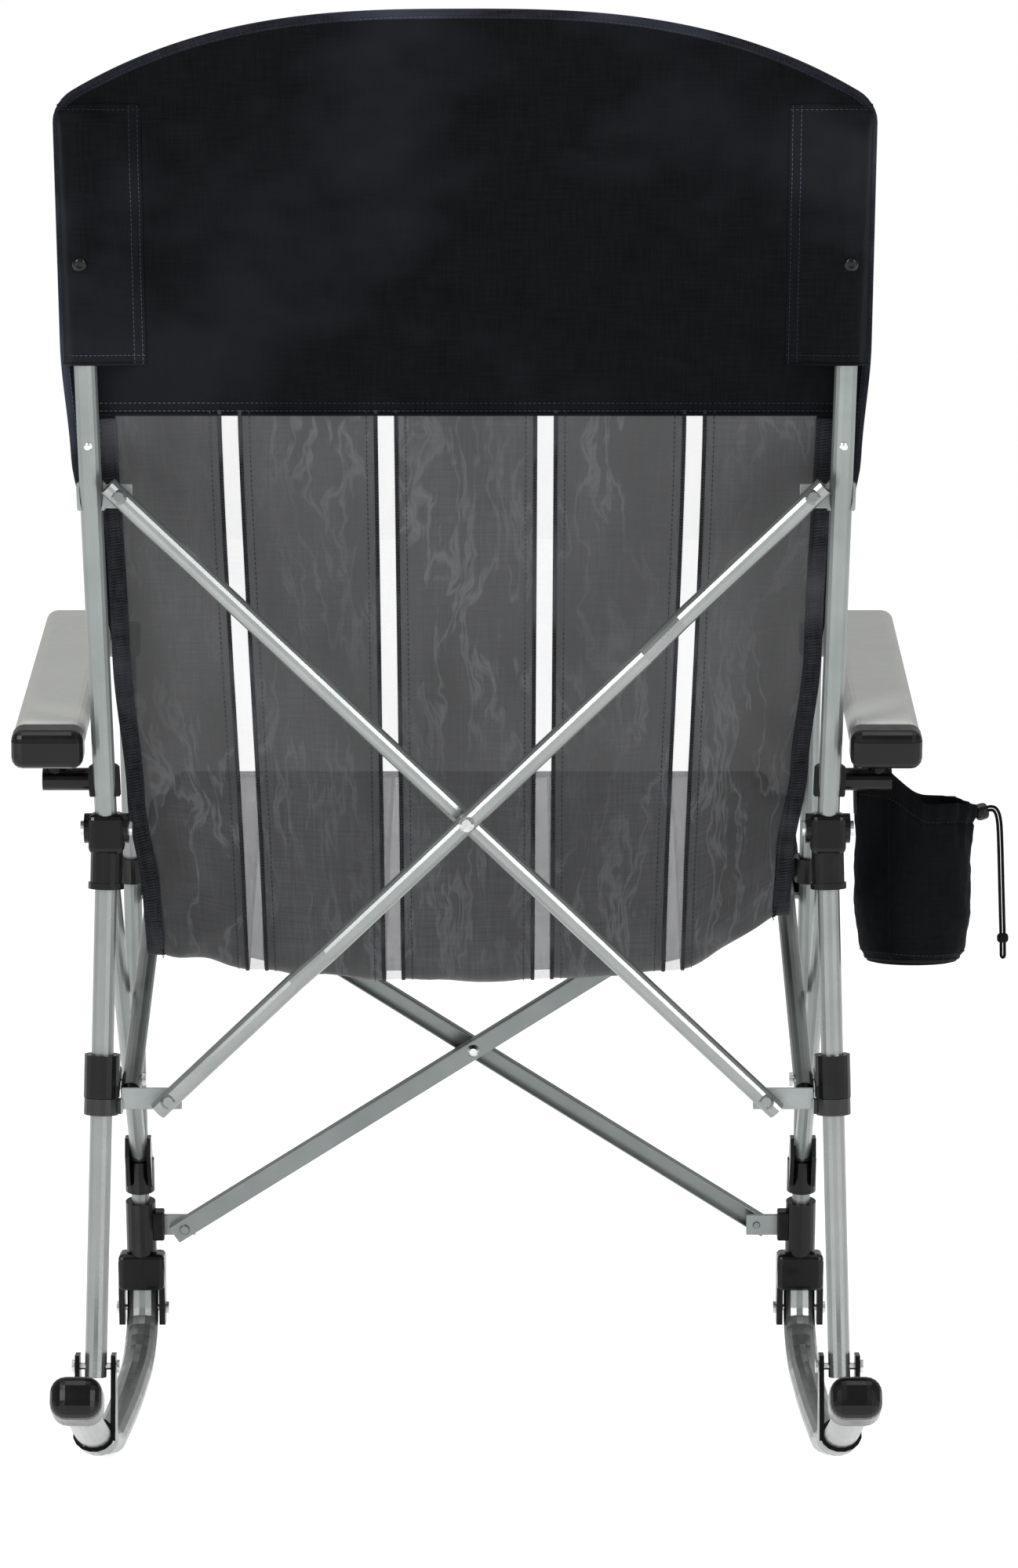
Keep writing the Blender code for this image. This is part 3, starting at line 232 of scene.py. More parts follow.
def paint_material(name, dark, light, metallic, rough):
    """Powder coat: fine orange peel, faint mottling, scuffs and slightly worn edges."""
    n = Nodes(name)
    mottle = n.noise(n.place, 26.0, 4.0)
    colour = n.ramp(mottle, ((0.30, dark), (0.72, light)))
    scuffs = n.noise(n.scaled(n.place, (60.0, 60.0, 9.0)), 6.0, 5.0, 0.7)
    scuff = n.span(scuffs, 0.68, 0.80, 0.0, 0.2)
    colour = n.mix(scuff, colour, tuple(min(1.0, c * 1.15) for c in light))
    colour = n.mix(edge_wear(n, 0.12), colour, (0.50, 0.51, 0.51))
    n.set(Base_Color=colour)
    n.set(Metallic=metallic)
    n.set(Roughness=n.span(n.noise(n.place, 30.0, 3.0), 0.3, 0.7, rough - 0.02, rough + 0.04))
    peel = n.plus(n.noise(n.place, 1500.0, 2.0), n.times(n.noise(n.place, 260.0, 2.0), 0.8))
    n.bump(peel, 0.000005, 0.3)
    return n.material


def plastic_material(name, colour, rough, coat, grain=900.0, depth=0.00005, vary=1.5, gloss=0.30):
    """Moulded plastic: fine grain, faint flow marks, dusty scuffs on the edges."""
    n = Nodes(name)
    flow = n.noise(n.scaled(n.place, (14.0, 14.0, 40.0)), 2.0, 4.0)
    lighter = tuple(min(1.0, c * vary + 0.0005) for c in colour)
    base = n.ramp(flow, ((0.35, colour), (0.75, lighter)))
    base = n.mix(edge_wear(n, 0.2), base, tuple(min(1.0, c * 1.6 + 0.012) for c in colour))
    n.set(Base_Color=base)
    n.set(Roughness=n.span(n.noise(n.place, 70.0, 5.0), 0.3, 0.75, rough - 0.06, rough + 0.14))
    n.set(Specular_IOR_Level=gloss)
    n.set(Coat_Weight=coat)
    n.set(Coat_Roughness=0.10)
    n.bump(n.noise(n.place, grain, 3.0), depth, 0.6)
    return n.material


def zinc_material():
    n = Nodes("zinc_plate")
    grain = n.noise(n.scaled(n.place, (30.0, 240.0, 240.0)), 8.0, 4.0)
    n.set(Base_Color=n.ramp(grain, ((0.3, (0.52, 0.53, 0.54)), (0.7, (0.80, 0.81, 0.80)))))
    n.set(Metallic=1.0)
    n.set(Roughness=n.span(n.noise(n.place, 300.0, 4.0), 0.3, 0.7, 0.2, 0.38))
    n.bump(grain, 0.00004, 0.5)
    return n.material


def weave(n, vector, across, along, twill=False):
    """Height of a plain weave, or of a twill, with threads that many to the metre."""
    u, v = n.split(vector)[:2]
    if twill:
        v_shift = n.plus(n.times(v, along), n.times(u, across * 0.5))
        return n.math("SINE", n.times(v_shift, 2 * math.pi))
    warp = n.math("SINE", n.times(u, across * math.pi))
    weft = n.math("SINE", n.times(v, along * math.pi))
    return n.times(warp, weft)


def cloth_material(name, dark, light, threads=1150.0, rough=0.72, sheen=0.03, twill=False, depth=0.00012):
    """Woven polyester on UVs in metres: thread relief, slubs, soft creases, a faint sheen, and broad lighter
    patches in the colour that are painted sheen.
    """
    n = Nodes(name)
    cells = weave(n, n.uv, threads, threads, twill)
    slub = n.noise(n.scaled(n.uv, (40.0, 700.0, 1.0)), 1.0, 3.0)
    slub_across = n.noise(n.scaled(n.uv, (700.0, 40.0, 1.0)), 1.0, 3.0)
    threads_mix = n.times(n.plus(slub, slub_across), 0.5)
    tone = n.plus(threads_mix, n.times(cells, 0.10))
    woven = n.ramp(tone, ((0.34, dark), (0.66, light)))
    # broad lighter patches in the base colour: painted sheen, soft highlights laid into the cloth's colour
    broad = n.span(n.noise(n.scaled(n.place, (1.0, 1.0, 1.6)), 5.5, 3.0), 0.50, 0.68, 0.0, 0.75)
    n.set(Base_Color=n.mix(broad, woven, tuple(min(1.0, c * 2.8) for c in light)))
    n.set(Roughness=n.span(n.noise(n.place, 45.0, 4.0), 0.3, 0.7, rough - 0.06, rough + 0.08))
    n.set(Sheen_Weight=sheen)
    n.set(Sheen_Roughness=0.45)
    n.set(Sheen_Tint=(0.55, 0.65, 0.95, 1.0))
    n.set(Specular_IOR_Level=0.06)
    creases = n.noise(n.scaled(n.place, (1.0, 1.0, 0.6)), 38.0, 5.0, 0.6)
    height = n.plus(n.times(cells, 0.35), n.times(threads_mix, 0.8))
    n.bump(n.plus(height, n.times(creases, 3.0)), depth, 0.9)
    return n.material


def net_material(name, dark, light, cover_low, cover_high, shine, painted_crease_highlight=0.0, threads=900.0):
    """Sheer knitted mesh: fine dark threads with air between, so what is behind it shows through; its darker
    bands are painted shade and its lighter crease streaks are painted highlights.
    """
    n = Nodes(name)
    cells = weave(n, n.uv, threads, threads)
    slub = n.noise(n.scaled(n.uv, (26.0, 520.0, 1.0)), 1.0, 4.0, 0.65)
    slub_across = n.noise(n.scaled(n.uv, (520.0, 26.0, 1.0)), 1.0, 4.0, 0.65)
    both = n.times(n.plus(slub, slub_across), 0.5)
    cloud = n.noise(n.scaled(n.uv, (1.0, 0.45, 1.0)), 11.0, 4.0)
    knit = n.ramp(both, ((0.30, dark), (0.70, light)))
    # broad vertical bands that darken the knit: painted shade of soft waves in the mesh
    broad = n.noise(n.scaled(n.uv, (1.0, 0.28, 1.0)), 20.0, 3.0)
    knit = n.mix(n.span(broad, 0.40, 0.62, 0.0, 0.55), knit, dark)
    # lighter streaks along wandering crease lines, in patches: painted highlights on the mesh's creases
    wander = n.noise(n.scaled(n.uv, (1.0, 0.5, 1.0)), 9.0, 4.0)
    across, down = n.split(n.uv)[:2]
    bent = n.add("CombineXYZ")
    n.feed(bent, "X", n.plus(across, n.times(wander, 0.10)))
    n.feed(bent, "Y", n.times(down, 0.16))
    n.feed(bent, "Z", 0.4)
    ridge = n.math("ABSOLUTE", n.math("SUBTRACT", n.noise(bent.outputs[0], 44.0, 4.0, 0.6), 0.5))
    crease = n.span(ridge, 0.0, 0.035, 1.0, 0.0)
    patch = n.span(n.noise(n.scaled(n.uv, (1.0, 0.6, 1.0)), 6.0, 3.0), 0.40, 0.58, 0.15, 1.0)
    sheen = n.times(n.times(crease, patch), painted_crease_highlight)
    n.set(Base_Color=n.mix(sheen, knit, tuple(min(1.0, c * 1.9 + 0.02) for c in light)))
    cover = n.plus(n.times(both, 0.55), n.times(cloud, 0.45))
    cover = n.plus(cover, n.times(cells, 0.04))
    n.set(Alpha=n.span(cover, 0.30, 0.70, cover_low, cover_high))
    n.set(Roughness=0.48)
    n.set(Specular_IOR_Level=shine)
    n.set(Sheen_Weight=0.05)
    n.set(Sheen_Roughness=0.4)
    n.bump(n.plus(n.times(cells, 0.4), both), 0.00012, 0.8)
    n.material.surface_render_method = "BLENDED"
    return n.material


paints = {
    "frame_paint": paint_material(
        "frame_paint_coat", (0.185, 0.206, 0.201), (0.225, 0.247, 0.241), 0.60, 0.30),
    "leg_paint": paint_material("leg_paint_coat", (0.235, 0.252, 0.249), (0.275, 0.292, 0.288), 0.78, 0.27),
    "steel_plate": paint_material("plate_coat", (0.22, 0.243, 0.238), (0.27, 0.293, 0.288), 0.35, 0.45),
    "black_plastic": plastic_material("black_nylon", (0.0018, 0.0018, 0.0021), 0.20, 0.0, gloss=0.24),
    "arm_plastic": plastic_material(
        "armrest_shell", (0.335, 0.342, 0.322), 0.38, 0.05, 1400.0, 0.00008, 1.05, 0.5),
    "zinc": zinc_material(),
}
CLOTH = cloth_material("black_polyester", (0.0005, 0.0006, 0.0008), (0.0026, 0.0030, 0.0038), sheen=0.012)
# a lighter copy of the black polyester, so the sleeves stand out from the panel: painted highlight
SLEEVE_CLOTH_PAINTED_LIGHTER = cloth_material(
    "sleeve_polyester_painted_highlight", (0.0008, 0.0009, 0.0011), (0.0036, 0.0041, 0.0052), sheen=0.015)
TAPE = cloth_material(
    "binding_tape", (0.0020, 0.0023, 0.0032), (0.012, 0.014, 0.020), 620.0, 0.62, 0.05, True, 0.0002)
WEBBING = cloth_material(
    "edge_webbing", (0.003, 0.003, 0.0035), (0.022, 0.023, 0.026), 420.0, 0.6, 0.05, True, 0.0004)
THREAD = cloth_material(
    "sewing_thread", (0.010, 0.012, 0.017), (0.032, 0.037, 0.050), 2400.0, 0.6, 0.03, True, 0.0001)
NET = net_material("charcoal_net", (0.015, 0.0154, 0.0165), (0.046, 0.047, 0.050), 0.965, 0.996, 0.30, 0.42)
STRIP_NET = net_material("pale_net", (0.40, 0.40, 0.41), (0.56, 0.56, 0.57), 0.26, 0.42, 0.20, 0.1)
CORD = cloth_material(
    "braided_cord", (0.0015, 0.0015, 0.002), (0.008, 0.008, 0.010), 1500.0, 0.70, 0.01, True, 0.00015)


SLIDER_TAB_REACH = 0.2494  # the tab ends and the ring begins, from the middle plane


def slider_material():
    """Black moulded ring with a grey steel tab: the tab is what lies nearer the middle than the leg."""
    n = Nodes("slider_ring_and_tab")
    reach = n.math("ABSOLUTE", n.math("SUBTRACT", n.split(n.place)[0], MID_X))
    tab = n.math("LESS_THAN", reach, SLIDER_TAB_REACH)
    mottle = n.noise(n.place, 30.0, 4.0)
    steel = n.ramp(mottle, ((0.3, (0.24, 0.265, 0.26)), (0.7, (0.31, 0.335, 0.33))))
    plastic = n.ramp(mottle, ((0.3, (0.0022, 0.0022, 0.0025)), (0.7, (0.005, 0.005, 0.0055))))
    n.set(Base_Color=n.mix(tab, plastic, steel))
    n.set(Metallic=n.times(tab, 0.4))
    n.set(Roughness=n.span(n.noise(n.place, 90.0, 4.0), 0.3, 0.7, 0.30, 0.44))
    n.bump(n.noise(n.place, 1100.0, 3.0), 0.00006, 0.6)
    return n.material


SLIDER_FINISH = slider_material()
FINISHES = {entry["node"]: entry["material_slot"] for entry in frame["record"]["subparts"]}
BRIGHT_BRACES = ("rear_brace_near", "rear_brace_far")
for node_name, node in frame["nodes"].items():
    finish = paints.get("leg_paint" if node_name in BRIGHT_BRACES else FINISHES.get(node_name))
    if node_name.endswith("rear_slider"):
        finish = SLIDER_FINISH
    if finish and node.type == "MESH":
        node.data.materials.clear()
        node.data.materials.append(finish)
        node.data.shade_smooth()
        node.data.set_sharp_from_angle(angle=math.radians(38))


# ---------------------------------------------------------------- mesh helpers
def finish_mesh(bm, name, materials):
    bmesh.ops.recalc_face_normals(bm, faces=bm.faces)
    data = bpy.data.meshes.new(name)
    bm.to_mesh(data)
    bm.free()
    data.shade_smooth()
    obj = bpy.data.objects.new(name, data)
    scene.collection.objects.link(obj)
    for one in materials:
        data.materials.append(one)
    return obj


def sheet_object(name, points, uvs, materials, pick=None, thick=0.0):
    """A grid of points as one cloth surface, with UVs in metres; pick chooses a face's material."""
    bm = bmesh.new()
    layer = bm.loops.layers.uv.new("cloth")
    grid = [[bm.verts.new(p) for p in line] for line in points]
    where = {}
    for i, line in enumerate(grid):
        for j, vert in enumerate(line):
            where[vert] = uvs[i][j]
    for i in range(len(grid) - 1):
        for j in range(len(grid[0]) - 1):
            face = bm.faces.new((grid[i][j], grid[i][j + 1], grid[i + 1][j + 1], grid[i + 1][j]))
            face.material_index = pick(i, j) if pick else 0
            for loop in face.loops:
                loop[layer].uv = where[loop.vert]
    obj = finish_mesh(bm, name, materials)
    if thick:
        solid = obj.modifiers.new("thickness", "SOLIDIFY")
        solid.thickness = thick
        solid.offset = 0.0
    return obj


def sweep(name, points, ups, half_wide, half_high, finish, sides=8, square=1.0, closed=False):
    """A strip or tube along points: oval, or flat with rounded edges where square is below 1."""
    bm = bmesh.new()
    layer = bm.loops.layers.uv.new("cloth")
    rings, lengths, walked = [], [], 0.0
    count = len(points)
    for i, place in enumerate(points):
        before = points[i - 1] if closed or i else place
        after = points[(i + 1) % count] if closed or i < count - 1 else place
        along = (after - before).normalized()
        up = ups[i] if isinstance(ups, list) else ups
        across = along.cross(up).normalized()
        up = across.cross(along)
        wide = half_wide(i / max(1, count - 1)) if callable(half_wide) else half_wide
        high = half_high(i / max(1, count - 1)) if callable(half_high) else half_high
        ring = []
        for k in range(sides):
            angle = 2 * math.pi * (k + 0.5) / sides
            c, s = math.cos(angle), math.sin(angle)
            c = math.copysign(abs(c) ** square, c)
            s = math.copysign(abs(s) ** square, s)
            ring.append(bm.verts.new(place + across * (wide * c) + up * (high * s)))
        rings.append(ring)
        walked += (place - before).length if i else 0.0
        lengths.append(walked)
    girth = 4 * (half_wide if not callable(half_wide) else half_wide(0.5))
    turns = count if closed else count - 1
    for i in range(turns):
        for k in range(sides):
            a, b = rings[i], rings[(i + 1) % count]
            face = bm.faces.new((a[k], a[(k + 1) % sides], b[(k + 1) % sides], b[k]))
            top = lengths[i + 1] if i + 1 < count else lengths[i] + 0.001
            spots = ((k, lengths[i]), (k + 1, lengths[i]), (k + 1, top), (k, top))
            for loop, (turn, far) in zip(face.loops, spots):
                loop[layer].uv = (turn / sides * girth, far)
    if not closed:
        bm.faces.new(list(reversed(rings[0])))
        bm.faces.new(rings[-1])
    return finish_mesh(bm, name, [finish])


STITCH_SHAPE = ((-0.5, 0.5, -0.3), (-0.25, 1.0, 0.5), (0.25, 1.0, 0.5), (0.5, 0.5, -0.3))


def stitches(name, lines, pitch=0.0034, length=0.0024, thick=0.00030):
    """Rows of small raised thread stitches; lines holds (points, ups) pairs."""
    bm = bmesh.new()
    layer = bm.loops.layers.uv.new("cloth")
    for points, ups in lines:
        walked, target = 0.0, pitch / 2
        for i in range(len(points) - 1):
            step = points[i + 1] - points[i]
            far = step.length
            while far and walked + far >= target:
                share = (target - walked) / far
                middle = points[i].lerp(points[i + 1], share)
                up = (ups[i] if isinstance(ups, list) else ups).normalized()
                along = step.normalized()
                across = along.cross(up).normalized()
                ring = []
                for t, size, lift in STITCH_SHAPE:
                    place = middle + along * (length * t) + up * (thick * lift)
                    ring.append([
                        bm.verts.new(place + across * (thick * size * c) + up * (thick * size * s))
                        for c, s in ((1, 0), (0, 1), (-1, 0), (0, -1))
                    ])
                for a, b in zip(ring, ring[1:]):
                    for k in range(4):
                        face = bm.faces.new((a[k], a[(k + 1) % 4], b[(k + 1) % 4], b[k]))
                        for loop in face.loops:
                            loop[layer].uv = (loop.vert.co - middle).to_2d()
                bm.faces.new(list(reversed(ring[0])))
                bm.faces.new(ring[-1])
                target += pitch
            walked += far
    return finish_mesh(bm, name, [THREAD])


def lathe(name, centre, axis, profile, finish, sides=24, hex_from=None):
    """A turned piece: profile holds (radius, height) pairs; rings from hex_from on are six-sided."""
    axis = axis.normalized()
    side = axis.orthogonal().normalized()
    other = axis.cross(side)
    bm = bmesh.new()
    rings = []
    for step, (radius, height) in enumerate(profile):
        ring = []
        for k in range(sides):
            angle = 2 * math.pi * k / sides
            reach = radius
            if hex_from is not None and step >= hex_from:
                within = (angle % (math.pi / 3)) - math.pi / 6
                reach = radius * math.cos(math.pi / 6) / math.cos(within)
            spot = side * (reach * math.cos(angle)) + other * (reach * math.sin(angle))
            ring.append(bm.verts.new(centre + spot + axis * height))
        rings.append(ring)
    for a, b in zip(rings, rings[1:]):
        for k in range(sides):
            bm.faces.new((a[k], a[(k + 1) % sides], b[(k + 1) % sides], b[k]))
    bm.faces.new(list(reversed(rings[0])))
    bm.faces.new(rings[-1])
    made = finish_mesh(bm, name, [finish])
    made.data.set_sharp_from_angle(angle=math.radians(40))
    return made


def attach(pieces, body):
    for piece in pieces:
        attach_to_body(piece, body)


def ripple(x, y, z, scale, seed=0.0):
    return noise.noise(Vector((x * scale + seed, y * scale - seed * 0.7, z * scale + seed * 1.3)))


# ---------------------------------------------------------------- drawstring of the cup pouch
STRAND_GAP = 0.0013
CORD_R = 0.00115
CORD_X = POUCH_LOW.x - 0.0012
CORD_Y = (POUCH_LOW.y + POUCH_HIGH.y) / 2 - 0.004
CORD_ROUTE = [
    (0.0, 0.4780), (0.0060, 0.4790), (0.0120, 0.4815), (0.0165, 0.4800), (0.0190, 0.4720),
    (0.0200, 0.4550), (0.0208, 0.4300), (0.0216, 0.4050), (0.0222, 0.3860), (0.0224, 0.3735),
]


def cord_middle():
    """Closely spaced points of the doubled cord's middle line, on a smooth curve through the route."""
    route = [Vector((CORD_X - out, CORD_Y, z)) for out, z in CORD_ROUTE]
    return smooth_curve(route, 4) + [route[-1]]


def build_cord():
    middle = cord_middle()
    away = []
    for i in range(len(middle)):
        along = (middle[min(i + 1, len(middle) - 1)] - middle[max(i - 1, 0)]).normalized()
        away.append(Vector((0, 1, 0)).cross(along) * STRAND_GAP)
    down = (middle[-1] - middle[-2]).normalized()
    loop = []
    for step in range(1, 6):
        angle = math.pi * step / 6
        swing = away[-1] * math.cos(angle) + down * (STRAND_GAP * 1.6 * math.sin(angle))
        loop.append(middle[-1] + swing)
    outward = [p + a for p, a in zip(middle, away)]
    back = [p - a for p, a in zip(middle, away)]
    line = outward + loop + back[::-1]
    curve = bpy.data.curves.new("pouch_cord", "CURVE")
    curve.dimensions = "3D"
    curve.bevel_depth = CORD_R
    curve.bevel_resolution = 3
    curve.use_fill_caps = True
    spline = curve.splines.new("POLY")
    spline.points.add(len(line) - 1)
    for point, place in zip(spline.points, line):
        point.co = (*place, 1)
    curve.materials.append(CORD)
    obj = bpy.data.objects.new("pouch_cord", curve)
    scene.collection.objects.link(obj)
    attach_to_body(obj, "right_frame")
    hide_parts("drawstring")
    knot = frame["nodes"]["cord_knot"]
    knot.data.materials.clear()
    knot.data.materials.append(CORD)


build_cord()

# ---------------------------------------------------------------- the sling's surface
PANEL_OFFSET = 0.0112  # the cloth's middle in front of the posts' centre lines
CREASE_Y, CREASE_Z = LEG_Y - 0.122, SLING_LOW.z + 0.0017
FRONT_Y, FRONT_Z = SLING_LOW.y + 0.0015, 0.4720
BACK_KNOTS = ((0.0760, 0.735), (0.0340, 0.655), (-0.0180, 0.5350), (-0.0700, 0.4150), (-0.0960, 0.3680))
SEAT_KNOTS = ((-0.1850, 0.3760), (-0.3220, 0.4360))


def make_profile():
    """Evenly spaced (y, z) points of the sling's middle line, from its top edge to the seat's front."""
    knots = [Vector((post_y(z) - PANEL_OFFSET, z)) for z in (SLING_TOP_Z, 0.95, 0.86, HEM_Z)]
    knots += [Vector((LEG_Y + out, z)) for out, z in BACK_KNOTS]
    knots.append(Vector((CREASE_Y, CREASE_Z)))
    knots += [Vector((LEG_Y + out, z)) for out, z in SEAT_KNOTS] + [Vector((FRONT_Y, FRONT_Z))]
    dense = smooth_curve(knots, 40)
    dense.append(knots[-1])
    far = [0.0]
    for a, b in zip(dense, dense[1:]):
        far.append(far[-1] + (b - a).length)
    return dense, far


PROFILE, PROFILE_FAR = make_profile()
SLING_LENGTH = PROFILE_FAR[-1]


def profile_at(s):
    """Point and outward normal of the middle line at distance s from the top edge."""
    low, high = 0, len(PROFILE_FAR) - 1
    while high - low > 1:
        middle = (low + high) // 2
        low, high = (middle, high) if PROFILE_FAR[middle] <= s else (low, middle)
    a, b = PROFILE[low], PROFILE[high]
    share = (s - PROFILE_FAR[low]) / max(1e-9, PROFILE_FAR[high] - PROFILE_FAR[low])
    place = a.lerp(b, share)
    along = (b - a).normalized()
    return place, Vector((0, -along[1], along[0]))


def s_at_height(z):
    """Distance along the back at which the middle line has that height."""
    for far, point in zip(PROFILE_FAR, PROFILE):
        if point[1] <= z:
            return far
    return PROFILE_FAR[-1]


S_HEM = s_at_height(HEM_Z)
S_CREASE = s_at_height(CREASE_Z + 0.0006)
EDGE_KNOTS = ((1.2, TOP_HALF), (0.825, TOP_HALF), (0.745, 0.2765), (0.691, 0.2690), (0.600, 0.2540),
              (0.500, 0.2470), (0.400, 0.2390))
NET_KNOTS = ((1.2, 0.2480), (0.800, 0.2480), (0.600, 0.2440), (0.476, 0.2370), (0.400, 0.2290))


def along_knots(knots, z):
    for (z_high, high), (z_low, low) in zip(knots, knots[1:]):
        if z >= z_low:
            return low + (high - low) * smoothstep(z_low, z_high, z) if z < z_high else high
    return knots[-1][1]


def half_width(s, knots, seat):
    if s > S_CREASE:
        return seat
    z = profile_at(s)[0][1]
    width = along_knots(knots, z)
    return seat + (width - seat) * smoothstep(CREASE_Z, 0.430, z) if z < 0.430 else width


def sling_point(x, s, offset=0.0):
    """A point of the sling x from the middle plane and s down its length, offset to its outer side."""
    (y, z), normal = profile_at(s)
    u = x / 0.245
    low_part = smoothstep(0.56, 0.95, s / S_CREASE) * (1 - smoothstep(S_CREASE + 0.02, SLING_LENGTH, s))
    lift = 0.026 * abs(u) ** 2.4 * low_part
    if x < 0:
        lift += 0.030 * smoothstep(0.62, 1.0, abs(u)) * low_part
    back_part = smoothstep(S_HEM, S_HEM + 0.12, s) * (1 - smoothstep(S_CREASE + 0.03, SLING_LENGTH - 0.06, s))
    edge = max(0.0, 1 - abs(u) ** 6)
    folds = 0.0020 * ripple(x * 2.6, s * 0.5, 0.0, 13.0, 3.1) + 0.0011 * ripple(x, s * 0.45, 0.0, 46.0, 8.2)
    slant = abs(x) * 0.85 + (S_CREASE - s) * 0.62
    corner = smoothstep(0.35, 0.95, abs(u)) * smoothstep(0.45, 1.0, s / S_CREASE)
    folds += 0.0024 * corner * math.sin(slant * 150.0 + 2.0 * ripple(x, s, 0, 9.0, 5.0))
    folds += 0.0016 * smoothstep(0.60, 0.98, s / S_CREASE) * ripple(x * 1.2, s * 2.2, 0.0, 30.0, 1.7)
    return Vector((MID_X + x, y, z + lift)) + normal * (folds * back_part * edge + offset)


def spaced(low, high, count):
    return [low + (high - low) * i / (count - 1) for i in range(count)]


# ---------------------------------------------------------------- head panel
CORNER_R = 0.013


def top_height(x):
    """Height of the panel's top edge, an arch with rounded corners."""
    u = x / TOP_HALF
    height = SLING_TOP_Z - 0.0010 - CORNER_DROP * abs(u) ** CORNER_POWER
    beyond = abs(x) - (TOP_HALF - CORNER_R)
    if beyond > 0:
        height -= CORNER_R - math.sqrt(max(0.0, CORNER_R**2 - beyond**2))
    return height


def panel_edge(z):
    return along_knots(EDGE_KNOTS, z)


def panel_point(x, z, offset=0.0):
    """A point of the head panel, offset to the rear; the lower wings follow the same surface."""
    u = x / TOP_HALF
    soft = smoothstep(0.258, 0.215, abs(x)) * smoothstep(HEM_Z - 0.012, HEM_Z + 0.05, z)
    soft = max(soft, smoothstep(0.985, 1.0, z) * smoothstep(1.0, 0.93, abs(u)))
    y = post_y(z) - PANEL_OFFSET + offset
    broad = 0.0045 * ripple(x, 0.0, z, 6.5, 2.0) + 0.0022 * ripple(x, 0.0, z, 16.0, 4.0)
    fan = math.atan2(z - 0.93, abs(x) - 0.30)
    pull = smoothstep(0.20, 0.05, math.hypot(abs(x) - 0.262, z - 0.985))
    broad += 0.0026 * pull * math.sin(fan * 9.0 + 1.5 * ripple(x, 0, z, 12.0, 6.0))
    hem = smoothstep(HEM_Z + 0.05, HEM_Z, z) * 0.0014 * ripple(x, 0.0, 0.0, 22.0, 7.0)
    return Vector((MID_X + x, y + broad * soft + hem, z))


def panel_columns():
    middle = spaced(-TOP_HALF + 0.022, TOP_HALF - 0.022, 79)
    edge = [TOP_HALF - 0.022 * (1 - math.sin(math.pi / 2 * k / 8)) for k in range(1, 9)]
    return [-e for e in reversed(edge)] + middle + edge


def build_head_panel():
    columns = panel_columns()
    points, uvs = [], []
    rows = 60
    for i in range(rows + 1):
        line, marks = [], []
        for x in columns:
            z = top_height(x) + (HEM_Z - top_height(x)) * i / rows
            narrowed = x * min(1.0, panel_edge(z) / TOP_HALF)
            line.append(panel_point(narrowed, z))
            marks.append((x, z))
        points.append(line)
        uvs.append(marks)
    return sheet_object("head_panel", points, uvs, [CLOTH], thick=0.0011)


def outline(inset):
    """The bound edge: up the left wing, over the top and down the right wing."""
    points = []
    for i in range(46):
        z = 0.640 + (top_height(TOP_HALF - 0.001) - 0.006 - 0.640) * i / 45
        points.append((panel_edge(z) - inset, z))
    for x in reversed(panel_columns()[len(panel_columns()) // 2:]):
        slope = CORNER_POWER * CORNER_DROP * (x / TOP_HALF) ** (CORNER_POWER - 1) / TOP_HALF
        tilt = math.atan(slope)
        beyond = x - (TOP_HALF - CORNER_R)
        if beyond > 0:
            tilt = min(math.pi / 2, tilt + math.asin(min(1.0, beyond / CORNER_R)) * 0.8)
        points.append((x - inset * math.sin(tilt), top_height(x) - inset * math.cos(tilt)))
    return points + [(-x, z) for x, z in reversed(points[:-1])]


REAR = Vector((0, 1, -POST_LEAN)).normalized()


def wing_y(z):
    """Rear offset that keeps the wings on the sling's line below the hem."""
    if z >= HEM_Z:
        return 0.0
    offset = profile_at(s_at_height(z))[0][0] - (post_y(z) - PANEL_OFFSET)
    return offset * smoothstep(HEM_Z, HEM_Z - 0.05, z)


def build_binding():
    path = [panel_point(x, z, wing_y(z)) for x, z in outline(0.0030)]
    tape = sweep("edge_binding", path, REAR, 0.0034, 0.0017, TAPE, sides=10, square=0.6)
    seam = [panel_point(x, z, wing_y(z) + 0.0019) for x, z in outline(0.0052)]
    thread = stitches("binding_stitches", [(seam, REAR)])
    return [tape, thread]


def build_hem():
    xs = spaced(-panel_edge(HEM_Z) + 0.004, panel_edge(HEM_Z) - 0.004, 90)
    line = [panel_point(x, HEM_Z + 0.0006, 0.0002) for x in xs]
    fold = sweep("head_hem", line, REAR, 0.0012, 0.0014, CLOTH, 8)
    seam = [panel_point(x, HEM_Z + 0.0085, 0.0010) for x in xs]
    edge = [panel_point(x, HEM_Z + 0.0030, 0.0011) for x in xs]
    return [fold, stitches("hem_stitches", [(seam, REAR), (edge, REAR)])]


# ---------------------------------------------------------------- sleeves over the back posts
SLEEVE_TOP, SLEEVE_LOW = 0.9860, 0.8110
SLEEVE_OUT, SLEEVE_IN, SLEEVE_STITCH = 0.2785, 0.2220, 0.2300


def hull_height(x, centre, reach, ends):
    """Height at x of a cloth stretched from one end over a round bar to the other end."""
    hull = []
    spots = [ends[0]]
    spots += [(centre[0] + reach * math.cos(a), centre[1] + reach * math.sin(a))
              for a in (math.pi - math.pi * k / 14 for k in range(15))]
    spots.append(ends[1])
    for spot in sorted(spots):
        while len(hull) > 1:
            (ax, ay), (bx, by) = hull[-2], hull[-1]
            if (bx - ax) * (spot[1] - ay) - (by - ay) * (spot[0] - ax) < 0:
                break
            hull.pop()
        hull.append(spot)
    for (ax, ay), (bx, by) in zip(hull, hull[1:]):
        if ax <= x <= bx:
            return ay + (by - ay) * (x - ax) / max(1e-9, bx - ax)
    return 0.0


